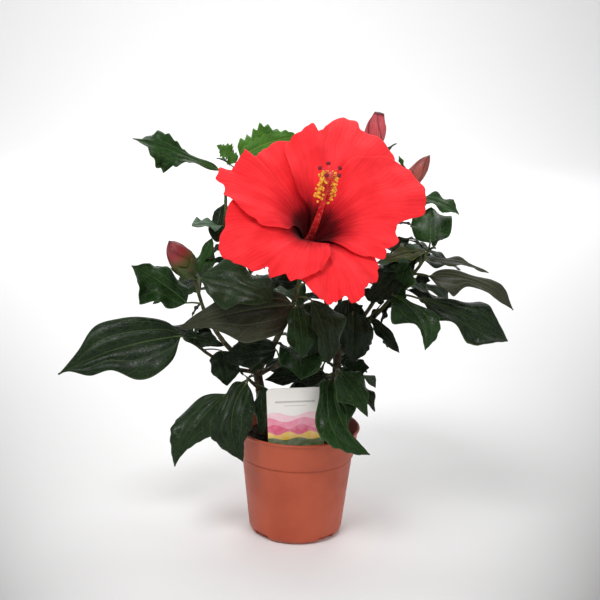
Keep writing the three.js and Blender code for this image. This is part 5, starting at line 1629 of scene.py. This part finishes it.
def make_label():
    """A plain card on its stake: a thin plate whose two faces carry the print's coordinates."""
    outline = np.array(label_outline())
    half = LABEL["thick"] / 2
    lean = Matrix.Rotation(math.radians(-LABEL["tilt"]), 3, "Z")
    turn = Matrix.Rotation(math.radians(LABEL["turn"]), 3, "Z")
    stand = Matrix.Rotation(math.pi / 2, 3, "X")

    def place(x, z, depth):
        spot = lean @ Vector((x, z - LABEL["shoulder"], depth)) + Vector((0, LABEL["shoulder"], 0))
        return turn @ (stand @ spot) + Vector(LABEL["at"])

    middle = np.array([0, LABEL["shoulder"] + LABEL["middle"]])
    loops = []
    back = [(inset, down - half) for inset, down in LABEL["rounding"]]
    for inset, depth in back + [(inset, -depth) for inset, depth in back[::-1]]:
        ring = []
        for x, z in outline:
            away = np.array([x, z]) - middle
            pulled = middle + away * (1 - inset / max(np.linalg.norm(away), 1))
            ring.append(place(pulled[0], pulled[1], depth))
        loops.append(ring)
    grid = np.array(loops)
    points, faces = rings(grid)
    flat = np.concatenate([np.tile(outline, (len(loops), 1)), [middle, middle]])
    base, height = LABEL["shoulder"], LABEL["top"] - LABEL["shoulder"]
    printed = np.stack([flat[:, 0] / LABEL["width"] + 0.5, (flat[:, 1] - base) / height], 1)
    piece = Piece("label_card", [CARD], "label", ["label"])
    points[-2:] = place(*middle, -half), place(*middle, half)
    piece.add(points, faces, Print=printed)
    made = piece.finish()
    made.data.set_sharp_from_angle(angle=math.radians(CREASE))


def make_stage():
    """A pale floor with painted shade, darker nearer the lens and further aside, that turns up into a pale
    wall far behind, and soft lights.
    """
    reach, back, arc = STAGE["half"], STAGE["back"], STAGE["arc"]
    bend = [(back - arc + arc * math.sin(a), arc - arc * math.cos(a)) for a in np.linspace(*STAGE["steps"])]
    profile = [(-reach, 0.0), (back - arc, 0.0), *bend, (back, STAGE["rise"])]
    rows = np.array([[(x, y, z) for y, z in profile] for x in (-reach, reach)])
    floor = bpy.data.meshes.new("floor")
    count = len(profile)
    quads = [(i, i + count, i + count + 1, i + 1) for i in range(count - 1)]
    floor.from_pydata([tuple(p) for p in rows.reshape(-1, 3)], [], quads)
    floor.polygons.foreach_set("use_smooth", np.ones(len(floor.polygons), bool))
    paint = Paint("Backdrop", Roughness=0.9, Specular_IOR_Level=0.1)
    # Painted shade: the pale floor turns grey by how near the lens and how far aside a point is, a little
    # darker to the right, weaker in front and far aside.
    x, y, _ = paint.parts(paint.place())
    away = paint.sum("MAXIMUM", paint.plus(y, SHADE["distance"]), SHADE["nearest"])
    near = paint.sum("DIVIDE", SHADE["eye"], away)
    aside = paint.sum("DIVIDE", x, away)
    shade = paint.times(paint.times(paint.times(aside, aside), near), SHADE["corners"])
    shade = paint.plus(shade, paint.times(near, SHADE["near"]))
    shade = paint.sum("MINIMUM", paint.plus(shade, paint.times(aside, SHADE["right"])), 1.0)
    shade = paint.times(shade, paint.ramp(y, *SHADE["front"]))
    shade = paint.times(shade, paint.ramp(paint.sum("ABSOLUTE", aside), *SHADE["aside"]))
    floor.materials.append(paint.done(paint.mix(shade, 0xF6F6F6, 0x9A9A9A)))
    link("floor", floor)

    world = bpy.data.worlds.new("Studio")
    world.use_nodes = True
    world.node_tree.nodes["Background"].inputs["Color"].default_value = (1, 1, 1, 1)
    world.node_tree.nodes["Background"].inputs["Strength"].default_value = WORLD_LIGHT
    bpy.context.scene.world = world
    bpy.context.scene.view_settings.view_transform = "Standard"
    for name, at, aim, size, power in LIGHTS:
        lamp = bpy.data.lights.new(name, "AREA")
        lamp.shape, lamp.size, lamp.energy = "DISK", size, power
        stand = link(name, lamp)
        stand.location = at
        stand.rotation_euler = (Vector(aim) - Vector(at)).to_track_quat("-Z", "Y").to_euler()


def make_camera():
    """The camera that sees what the photograph shows."""
    pitch, roll = math.radians(CAMERA["pitch"]), math.radians(CAMERA["roll"])
    ahead = Vector((0, math.cos(pitch), math.sin(pitch)))
    level_up = Vector((0, -math.sin(pitch), math.cos(pitch)))
    right = (Vector((1, 0, 0)) * math.cos(roll) - level_up * math.sin(roll)).normalized()
    up = right.cross(ahead)
    lens = bpy.data.cameras.new("Camera")
    lens.lens, lens.sensor_width = CAMERA["lens"], CAMERA["sensor"]
    camera = link("Camera", lens)
    axes = Matrix((right, up, -ahead)).transposed()
    camera.matrix_world = Matrix.Translation(Vector(CAMERA["at"]) * METRE) @ axes.to_4x4()
    bpy.context.scene.camera = camera


make_camera()
make_stage()
make_pot()
make_peat()
make_label()
make_plant()
for number, petal in enumerate(PETALS, 1):
    make_petal(number, petal)
make_throat()
make_column()
make_stalk()
for name, bud in BUDS.items():
    make_bud(name, bud)
